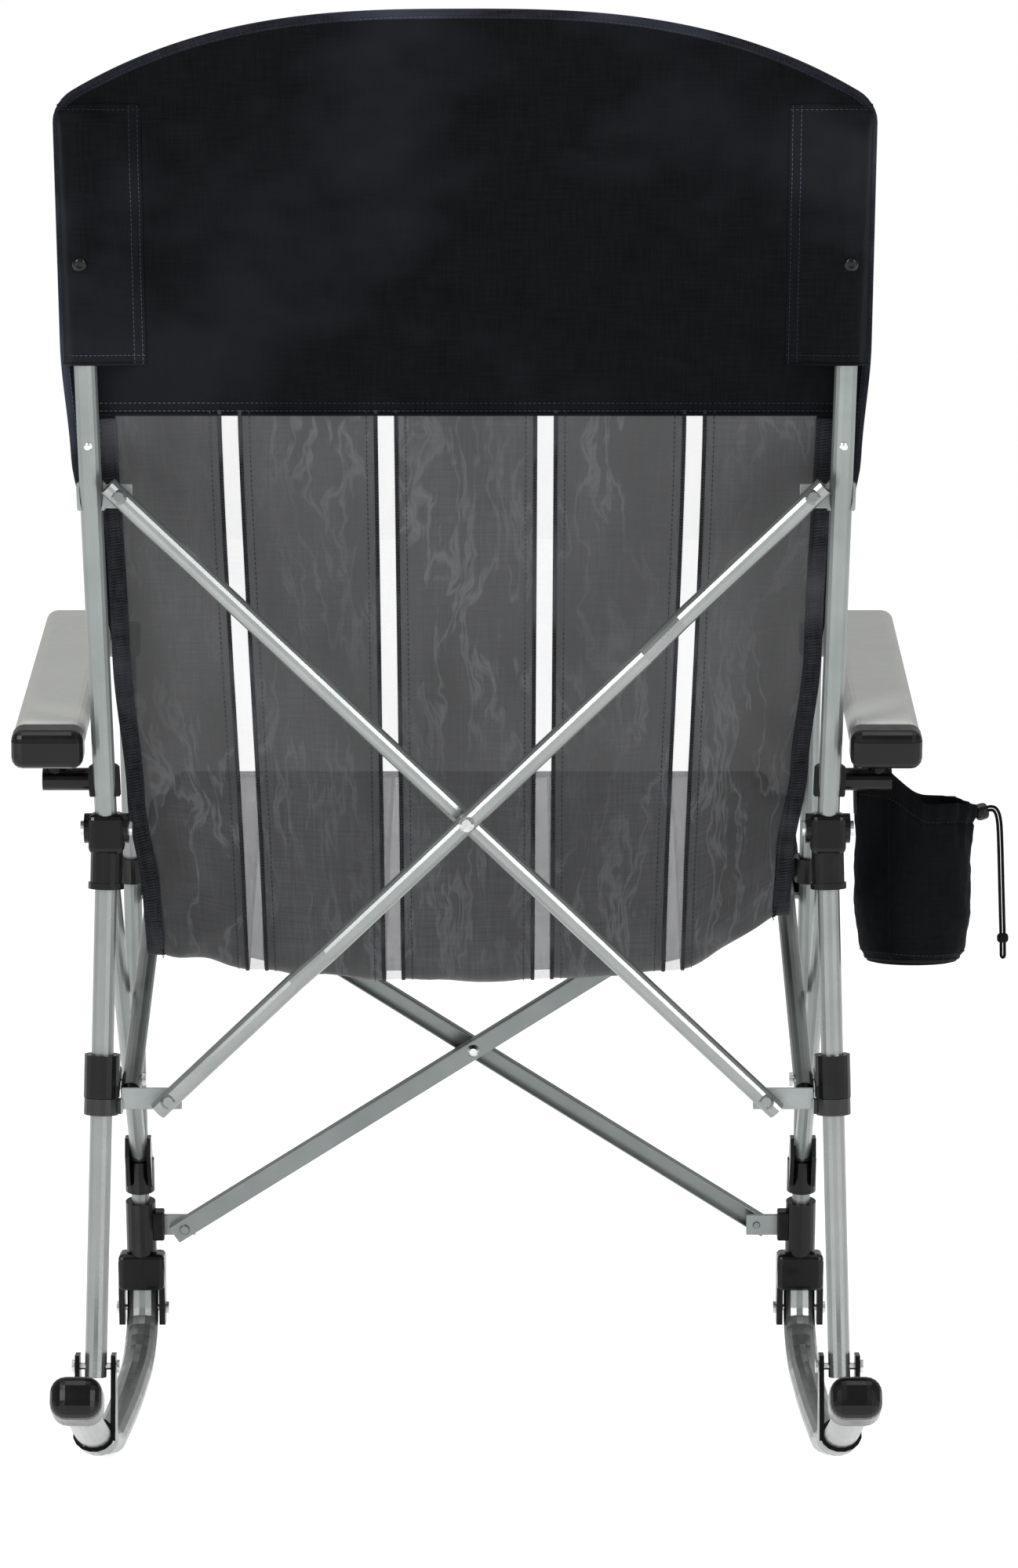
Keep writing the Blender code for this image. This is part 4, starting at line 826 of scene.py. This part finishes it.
def sleeve_point(sign, x, z, lift=0.0):
    """A point of a sleeve's rear cloth, x from the middle plane, drawn over its post."""
    shrink = smoothstep(SLEEVE_TOP + 0.003, POST_TOP_Z + 0.002, z)
    ends = ((SLEEVE_STITCH, 0.0008), (SLEEVE_OUT, 0.0016))
    height = hull_height(x, (post_x(z), PANEL_OFFSET), 0.0099, ends)
    slack = smoothstep(SLEEVE_STITCH, 0.240, x) * smoothstep(SLEEVE_OUT, 0.268, x)
    wave = 0.0016 * ripple(x, sign * 3.0, z, 34.0, 11.0 + sign) + 0.0007 * ripple(x, sign, z, 95.0, 2.0)
    screw = math.hypot(x - post_x(z), z - SCREW_Z)
    wave -= 0.0012 * smoothstep(0.016, 0.004, screw)
    near_post = smoothstep(0.004, 0.012, abs(x - post_x(z)))
    rise = max(0.0009, height * shrink + wave * slack * (0.25 + 0.75 * near_post))
    if abs(x - post_x(z)) < 0.0085:
        rise = max(rise, PANEL_OFFSET * shrink + math.sqrt(0.0096**2 - (x - post_x(z)) ** 2) * shrink)
    return panel_point(sign * x, z, rise + lift)


def build_sleeve(side, sign):
    xs = spaced(SLEEVE_IN, SLEEVE_OUT, 46)
    zs = spaced(SLEEVE_TOP + 0.003, SLEEVE_LOW, 70)
    points = [[sleeve_point(sign, x, z + 0.0012 * ripple(x, sign, 0, 60, 1.0)) for x in xs] for z in zs]
    uvs = [[(x, z) for x in xs] for z in zs]
    cloth = sheet_object(side + "_sleeve", points, uvs, [SLEEVE_CLOTH_PAINTED_LIGHTER], thick=0.0010)
    lines = []
    for x in (SLEEVE_STITCH, SLEEVE_IN + 0.0022):
        lines.append(([sleeve_point(sign, x, z, 0.0008) for z in zs], REAR))
    for z in (SLEEVE_LOW + 0.0060, SLEEVE_TOP - 0.0005):
        lines.append(([sleeve_point(sign, x, z, 0.0008) for x in xs], REAR))
    thread = stitches(side + "_sleeve_stitches", lines)
    line = [sleeve_point(sign, x, SLEEVE_LOW, 0.0002) for x in xs]
    hem = sweep(side + "_sleeve_hem", line, REAR, 0.0011, 0.0012, SLEEVE_CLOTH_PAINTED_LIGHTER, 8)
    spot = sleeve_point(sign, post_x(SCREW_Z), SCREW_Z, 0.0002)
    screw = lathe(side + "_sleeve_screw", spot, REAR,
                  ((0.0052, -0.0012), (0.0052, 0.0004), (0.0047, 0.0014), (0.0036, 0.0022), (0.0024, 0.0026),
                   (0.0021, 0.0026), (0.0019, 0.0010), (0.0003, 0.0008)), paints["black_plastic"], 24, 5)
    attach((cloth, thread, hem), side + "_frame")
    attach((screw,), side + "_frame")
    rivet_spot = Vector((MID_X + sign * post_x(RIVET_Z), post_y(RIVET_Z), RIVET_Z)) + REAR * (TUBE_R - 0.0004)
    rivet = lathe(side + "_post_rivet", rivet_spot, REAR,
                  ((0.0030, 0.0), (0.0030, 0.0006), (0.0022, 0.0014), (0.0009, 0.0018)), paints["zinc"], 18)
    attach((rivet,), side + "_frame")


# ---------------------------------------------------------------- net, pale strips and edge bands
STRIPS = (-0.1595, -0.0555, 0.0560, 0.1650)  # middles of the pale strips at the hem
STRIP_HALF = 0.0062


def strip_middle(middle, s):
    """Distance of a strip from the middle plane; the outer strips lean in towards the seat."""
    return middle * (1 - 0.055 * smoothstep(S_HEM, S_CREASE, s) * abs(middle) / 0.16)


def net_columns():
    """Shares of the width at which the net's columns stand, with a pair at each strip's edges."""
    columns = []
    for low, high in zip((-NET_EDGE,) + STRIPS, STRIPS + (NET_EDGE,)):
        start = low if low == -NET_EDGE else low + STRIP_HALF
        end = high if high == NET_EDGE else high - STRIP_HALF
        columns += [("net", x) for x in spaced(start, end, 15)]
        if high in STRIPS:
            columns.append(("pale", high))
    return columns


def net_x(x, s):
    """Where a column stands at that distance down the sling."""
    width = half_width(s, NET_KNOTS, NET_SEAT_HALF)
    anchors = [(-NET_EDGE, -width)]
    for middle in STRIPS:
        moved = strip_middle(middle, s)
        anchors += [(middle - STRIP_HALF, moved - STRIP_HALF), (middle + STRIP_HALF, moved + STRIP_HALF)]
    anchors.append((NET_EDGE, width))
    for (a, new_a), (b, new_b) in zip(anchors, anchors[1:]):
        if a - 1e-9 <= x <= b + 1e-9:
            return new_a + (new_b - new_a) * (x - a) / (b - a)
    return x


def build_net():
    columns = net_columns()
    marks_s = spaced(S_HEM - 0.010, SLING_LENGTH - 0.002, 170)
    points, uvs = [], []
    for s in marks_s:
        line = [sling_point(net_x(x, s), s, 0.0 if s > S_HEM else -0.0012) for kind, x in columns]
        points.append(line)
        uvs.append([(x, s) for kind, x in columns])
    pale = {j for j, (kind, x) in enumerate(columns) if kind == "pale"}
    return sheet_object("sling_net", points, uvs, [NET, STRIP_NET],
                        lambda i, j: int(j in pale or j + 1 in pale))


def sling_line(place, offset, start, end, count=150):
    """Points and normals down the sling along x = place(s)."""
    marks = spaced(start, end, count)
    points = [sling_point(place(s), s, offset) for s in marks]
    ups = [profile_at(s)[1] for s in marks]
    return points, ups


def build_strip_edges():
    """Dark seam tape and stitching down both edges of each pale strip."""
    pieces, threads = [], []
    start, end = S_HEM - 0.004, SLING_LENGTH - 0.003
    for number, middle in enumerate(STRIPS):
        for edge in (-1, 1):
            def place(s, middle=middle, edge=edge):
                return strip_middle(middle, s) + edge * (STRIP_HALF + 0.0009)

            points, ups = sling_line(place, 0.0003, start, end)
            name = f"strip_seam_{number}_{'low' if edge < 0 else 'high'}"
            pieces.append(sweep(name, points, ups, 0.0015, 0.0007, WEBBING, sides=8))

            def thread_place(s, middle=middle, edge=edge):
                return strip_middle(middle, s) + edge * (STRIP_HALF + 0.0075)

            points, ups = sling_line(thread_place, 0.0005, start, end)
            threads.append((points, ups))
    pieces.append(stitches("strip_stitches", threads, 0.0040, 0.0026, 0.00026))
    return pieces


def build_bands(side, sign):
    """Black webbing down the sling's edge, with the head panel's wing beside it."""
    marks = spaced(S_HEM - 0.006, SLING_LENGTH - 0.002, 130)
    points, uvs = [], []
    for s in marks:
        inner = half_width(s, NET_KNOTS, NET_SEAT_HALF) - 0.003
        outer = max(inner + 0.009, half_width(s, EDGE_KNOTS, SEAT_HALF) - 0.001)
        xs = spaced(inner, outer, 9)
        points.append([sling_point(sign * x, s, 0.0006 if k else 0.0002) for k, x in enumerate(xs)])
        uvs.append([(x, s) for x in xs])
    wing = sheet_object(side + "_edge_wing", points, uvs, [CLOTH], thick=0.0009)

    def middle(s):
        return sign * (half_width(s, NET_KNOTS, NET_SEAT_HALF) + 0.0030)

    line, ups = sling_line(middle, 0.0016, S_HEM + 0.002, SLING_LENGTH - 0.003)
    webbing = sweep(side + "_edge_webbing", line, ups, 0.0065, 0.0011, WEBBING, sides=12, square=0.5)
    threads = []
    for shift in (-0.0050, 0.0050):
        def place(s, shift=shift):
            return middle(s) + sign * shift

        threads.append(sling_line(place, 0.0028, S_HEM + 0.004, SLING_LENGTH - 0.004))
    return [wing, webbing, stitches(side + "_webbing_stitches", threads, 0.0042, 0.0028, 0.00030)]


def build_seat_lining():
    """Opaque cloth under the seat's net, from the crease to the front hem."""
    start = S_CREASE + 0.030
    marks = spaced(start, SLING_LENGTH - 0.002, 60)
    columns = spaced(-SEAT_HALF + 0.004, SEAT_HALF - 0.004, 61)
    points = [[sling_point(x, s, 0.0018) for x in columns] for s in marks]
    uvs = [[(x, s) for x in columns] for s in marks]
    return sheet_object("seat_lining", points, uvs, [CLOTH], thick=0.0007)


def build_front_hem():
    xs = spaced(-SEAT_HALF + 0.001, SEAT_HALF - 0.001, 60)
    s = SLING_LENGTH - 0.006
    up = profile_at(s)[1]
    tape = sweep("seat_front_hem", [sling_point(x, s, 0.0004) for x in xs], up, 0.0085, 0.0019, TAPE, 12, 0.5)
    lines = []
    for back, face in ((0.0125, 0.0026), (0.0125, -0.0018)):
        lines.append(([sling_point(x, SLING_LENGTH - back, face) for x in xs], up))
    return [tape, stitches("seat_front_stitches", lines)]


RAIL_LOW, RAIL_HIGH = (Vector(p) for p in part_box("left_seat_rail"))
RAIL_X = (RAIL_LOW.x + RAIL_HIGH.x) / 2 - MID_X
RAIL_SLOPE = 0.33


def rail_z(y):
    """Height of the seat rail's centre line."""
    front = RAIL_HIGH.z - 0.0070
    return front - RAIL_SLOPE * (y - RAIL_LOW.y)


def build_rail_sleeve(side, sign):
    """The seat's side hem: cloth from the sheet's edge, round the rail and back up."""
    radius = 0.0090
    points, uvs = [], []
    for i in range(34):
        y = RAIL_LOW.y + 0.006 + 0.150 * i / 33
        s = SLING_LENGTH - (y - FRONT_Y) * math.hypot(1, 0.30)
        top = sling_point(sign * (SEAT_HALF - 0.004), s, 0.0012)
        centre = Vector((MID_X + sign * RAIL_X, y, rail_z(y)))
        ring = [Vector((top.x, y, top.z))]
        for k in range(13):
            angle = math.radians(112 - 235 * k / 12)
            ring.append(centre + Vector((sign * radius * math.cos(angle), 0, radius * math.sin(angle))))
        ring.append(Vector((top.x, y, top.z - 0.0030)))
        far = [0.0]
        for a, b in zip(ring, ring[1:]):
            far.append(far[-1] + (b - a).length)
        points.append([p + Vector((sign * 0.0006 * ripple(p.x, p.y, p.z, 60.0, sign), 0, 0)) for p in ring])
        uvs.append([(f, y) for f in far])
    cloth = sheet_object(side + "_seat_sleeve", points, uvs, [SLEEVE_CLOTH_PAINTED_LIGHTER], thick=0.0009)
    edges = [(points[i][1] + Vector((sign * 0.0008, 0, 0.002))) for i in range(len(points))]
    thread = stitches(side + "_seat_sleeve_stitches", [(edges, Vector((sign, 0, 0.3)))])
    attach((cloth, thread), side + "_frame")


# ---------------------------------------------------------------- cup pouch
POUCH_MIDDLE = Vector(((POUCH_LOW.x + 0.0435), (POUCH_LOW.y + POUCH_HIGH.y) / 2, 0.0))
POUCH_R = 0.0435
POUCH_FLOOR = POUCH_LOW.z
POUCH_RIM = 0.4870
STRAP_FOOT = 0.478


def rim_height(angle):
    """The mouth's edge: it rises on the chair's side to its hanger and dips at the cord."""
    toward_chair = 0.5 + 0.5 * math.cos(angle)
    rise, dip = smoothstep(0.36, 0.80, toward_chair), smoothstep(0.12, 0.0, toward_chair)
    return POUCH_RIM + 0.021 * rise - 0.003 * dip


def pouch_height(angle, level, base=0.0014):
    """Height at a share of the way from the pouch's floor, raised by base, to its mouth."""
    return POUCH_FLOOR + base + (rim_height(angle) - POUCH_FLOOR - base) * level


def pouch_radius(angle, level):
    """Outer radius at a share of the height, with gathers under the mouth and a soft, heavy foot."""
    cordward = smoothstep(0.30, 0.0, 0.5 + 0.5 * math.cos(angle))
    radius = POUCH_R * (0.90 + 0.10 * smoothstep(0.0, 0.35, level)) - 0.0010
    radius -= 0.0050 * smoothstep(0.10, 0.0, level) ** 2
    c, s = math.cos(angle), math.sin(angle)
    gathers = math.sin(angle * 17.0 + 1.5 * math.sin(angle * 3.0)) * 0.0011
    gathers += 0.0007 * math.sin(angle * 29.0 + 2.0)
    radius += gathers * smoothstep(0.66, 0.93, level) * (0.6 + 0.8 * cordward)
    radius += 0.0013 * ripple(c, s, level * 2.2, 2.6, 4.4) * smoothstep(0.03, 0.2, level)
    radius += 0.0006 * ripple(c, s, level * 3.0, 7.0, 1.4)
    radius += 0.0018 * cordward * smoothstep(0.80, 0.97, level)
    radius -= 0.0016 * math.exp(-((level - 0.895) / 0.016) ** 2)
    return radius


def build_pouch():
    turns, levels = 112, 56
    bm = bmesh.new()
    layer = bm.loops.layers.uv.new("cloth")

    def ring(radius_of, height_of, v):
        made = []
        for k in range(turns):
            angle = 2 * math.pi * k / turns
            radius = radius_of(angle)
            spot = Vector((radius * math.cos(angle), radius * math.sin(angle), height_of(angle)))
            made.append((bm.verts.new(POUCH_MIDDLE + spot), v))
        return made

    rings = []
    for share in (0.0, 0.45, 0.80, 0.95):
        rings.append(ring(lambda a, q=share: max(0.0006, (POUCH_R - 0.0125) * q),
                          lambda a, q=share: POUCH_FLOOR + 0.0012 - 0.0008 * q, -0.05 + 0.05 * share))
    for step in range(levels + 1):
        level = step / levels
        rings.append(ring(lambda a, q=level: pouch_radius(a, q),
                          lambda a, q=level: pouch_height(a, q),
                          level * 0.12))
    for turn, (inward, up) in enumerate(((0.0006, 0.0012), (0.0018, 0.0012), (0.0024, 0.0))):
        rings.append(ring(lambda a, q=inward: pouch_radius(a, 1.0) - q, lambda a, q=up: rim_height(a) + q,
                          0.121 + 0.001 * turn))
    for step in range(24):
        level = 1.0 - 0.97 * (step + 1) / 24
        rings.append(ring(lambda a, q=level: pouch_radius(a, q) - 0.0024,
                          lambda a, q=level: pouch_height(a, q, 0.0030),
                          0.125 + 0.005 * step))
    for share in (0.7, 0.3, 0.0):
        rings.append(ring(lambda a, q=share: max(0.0006, (POUCH_R - 0.013) * q),
                          lambda a: POUCH_FLOOR + 0.0030, 0.25))
    girth = 2 * math.pi * POUCH_R
    for lower, upper in zip(rings, rings[1:]):
        for k in range(turns):
            quad = (lower[k], lower[(k + 1) % turns], upper[(k + 1) % turns], upper[k])
            face = bm.faces.new([vert for vert, v in quad])
            for loop, turn, (vert, v) in zip(face.loops, (k, k + 1, k + 1, k), quad):
                loop[layer].uv = (turn / turns * girth, v)
    bm.faces.new([vert for vert, v in reversed(rings[0])])
    bm.faces.new([vert for vert, v in rings[-1]])
    pouch = finish_mesh(bm, "pouch_bag", [CLOTH])

    def outside(angle, level, out):
        outward = Vector((math.cos(angle), math.sin(angle), 0))
        spot = outward * (pouch_radius(angle, level) + out) + Vector((0, 0, pouch_height(angle, level)))
        return POUCH_MIDDLE + spot, outward

    def ring_line(level, out):
        spots = [outside(2 * math.pi * k / 220, level, out) for k in range(221)]
        return [place for place, up in spots], [up for place, up in spots]

    foot, foot_ups = ring_line(0.022, 0.0001)
    welt = sweep("pouch_foot_seam", foot[:-1], foot_ups[:-1], 0.0012, 0.0009, TAPE, 8, closed=True)
    rows = [ring_line(0.895, 0.0002), ring_line(0.06, 0.0002)]
    threads = stitches("pouch_stitches", rows, 0.0032, 0.0022, 0.00028)
    seam = [outside(math.radians(62), 0.03 + 0.85 * k / 59, 0.0001) for k in range(60)]
    seam_points, seam_ups = [place for place, up in seam], [up for place, up in seam]
    side_seam = sweep("pouch_side_seam", seam_points, seam_ups, 0.0016, 0.0006, CLOTH, 8)
    strap_x = POUCH_MIDDLE.x + POUCH_R - 0.0020
    strap_points = []
    for t in spaced(0.0, 1.0, 16):
        height = STRAP_FOOT + (POUCH_HIGH.z - STRAP_FOOT) * t
        strap_points.append(Vector((strap_x + 0.0005 * math.sin(t * 5), POUCH_MIDDLE.y, height)))
    strap = sweep("pouch_strap", strap_points, Vector((1, 0, 0)), 0.0120, 0.0014, WEBBING, 12, 0.5)
    strap_lines = []
    for y_shift in (-0.009, 0.009):
        strap_lines.append(([p + Vector((-0.0015, y_shift, 0)) for p in strap_points], Vector((-1, 0, 0))))
    strap_thread = stitches("pouch_strap_stitches", strap_lines)
    eyelet_at = POUCH_MIDDLE + Vector((-POUCH_R + 0.0004, -0.004, 0.4780))
    eyelet = lathe("pouch_eyelet", eyelet_at, Vector((-1, 0, 0)),
                   ((0.0048, -0.0006), (0.0050, 0.0004), (0.0044, 0.0011), (0.0032, 0.0011),
                    (0.0029, 0.0002)),
                   paints["black_plastic"], 20)
    attach((pouch, welt, threads, side_seam, strap, strap_thread), "right_frame")
    attach((eyelet,), "right_frame")
    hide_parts("cup_pouch")


# ---------------------------------------------------------------- putting the cloth on the frame
def build_sling():
    head = build_head_panel()
    net = build_net()
    lining = build_seat_lining()
    head_parts = build_binding() + build_hem()
    net_parts = build_strip_edges()
    for side, sign in (("left", 1), ("right", -1)):
        net_parts += build_bands(side, sign)
    net_parts += build_front_hem()
    for side, sign in (("left", 1), ("right", -1)):
        build_sleeve(side, sign)
        build_rail_sleeve(side, sign)
    pieces = [head, net, lining] + head_parts + net_parts
    attach(pieces, "left_frame")
    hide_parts("back_seat_sling")
    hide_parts("back_seat_sling")
    for piece in pieces:
        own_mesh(piece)


build_sling()
build_pouch()


# ---------------------------------------------------------------- floor and light
def plain_material(name, colour, rough):
    n = Nodes(name)
    tone = n.noise(n.place, 0.7, 2.0)
    lighter = tuple(min(1.0, c * 1.02) for c in colour)
    n.set(Base_Color=n.ramp(tone, ((0.3, colour), (0.7, lighter))))
    n.set(Roughness=rough)
    return n.material


WHITE = (1.0, 1.0, 1.0, 1.0)
WORLD_LIGHT = 0.42
FLOOR_GLOW = 0.66


def build_floor():
    bm = bmesh.new()
    corners = [(-14, -14, 0), (14, -14, 0), (14, 14, 0), (-14, 14, 0)]
    bm.faces.new([bm.verts.new((x, y, z - 0.0004)) for x, y, z in corners])
    paint = plain_material("studio_floor", (0.90, 0.90, 0.90), 0.22)
    glow = paint.node_tree.nodes["Principled BSDF"]
    glow.inputs["Emission Color"].default_value = WHITE
    glow.inputs["Emission Strength"].default_value = FLOOR_GLOW
    floor = finish_mesh(bm, "floor", [paint])


def area_light(name, place, target, size, power):
    data = bpy.data.lights.new(name, "AREA")
    data.shape = "RECTANGLE"
    data.size, data.size_y = size
    data.energy = power
    obj = bpy.data.objects.new(name, data)
    obj.location = place
    obj.rotation_euler = (Vector(target) - Vector(place)).to_track_quat("-Z", "Y").to_euler()
    scene.collection.objects.link(obj)


build_floor()
world = bpy.data.worlds.new("studio")
world.use_nodes = True
nodes, link = world.node_tree.nodes, world.node_tree.links.new
light = nodes["Background"]
light.inputs["Color"].default_value = WHITE
light.inputs["Strength"].default_value = WORLD_LIGHT
seen = nodes.new("ShaderNodeBackground")
seen.inputs["Color"].default_value = WHITE
paths = nodes.new("ShaderNodeLightPath")
either = nodes.new("ShaderNodeMixShader")
link(paths.outputs["Is Camera Ray"], either.inputs[0])
link(light.outputs[0], either.inputs[1])
link(seen.outputs[0], either.inputs[2])
link(either.outputs[0], nodes["World Output"].inputs[0])
scene.world = world
area_light("key", (2.4, 3.4, 2.4), (0, 0, 0.6), (0.9, 2.4), 105)
area_light("fill", (-2.8, 2.9, 1.9), (0, 0, 0.6), (0.8, 2.4), 62)
area_light("top", (0.0, 0.3, 3.4), (0, 0, 0), (2.6, 2.2), 42)
scene.view_settings.view_transform = "Standard"
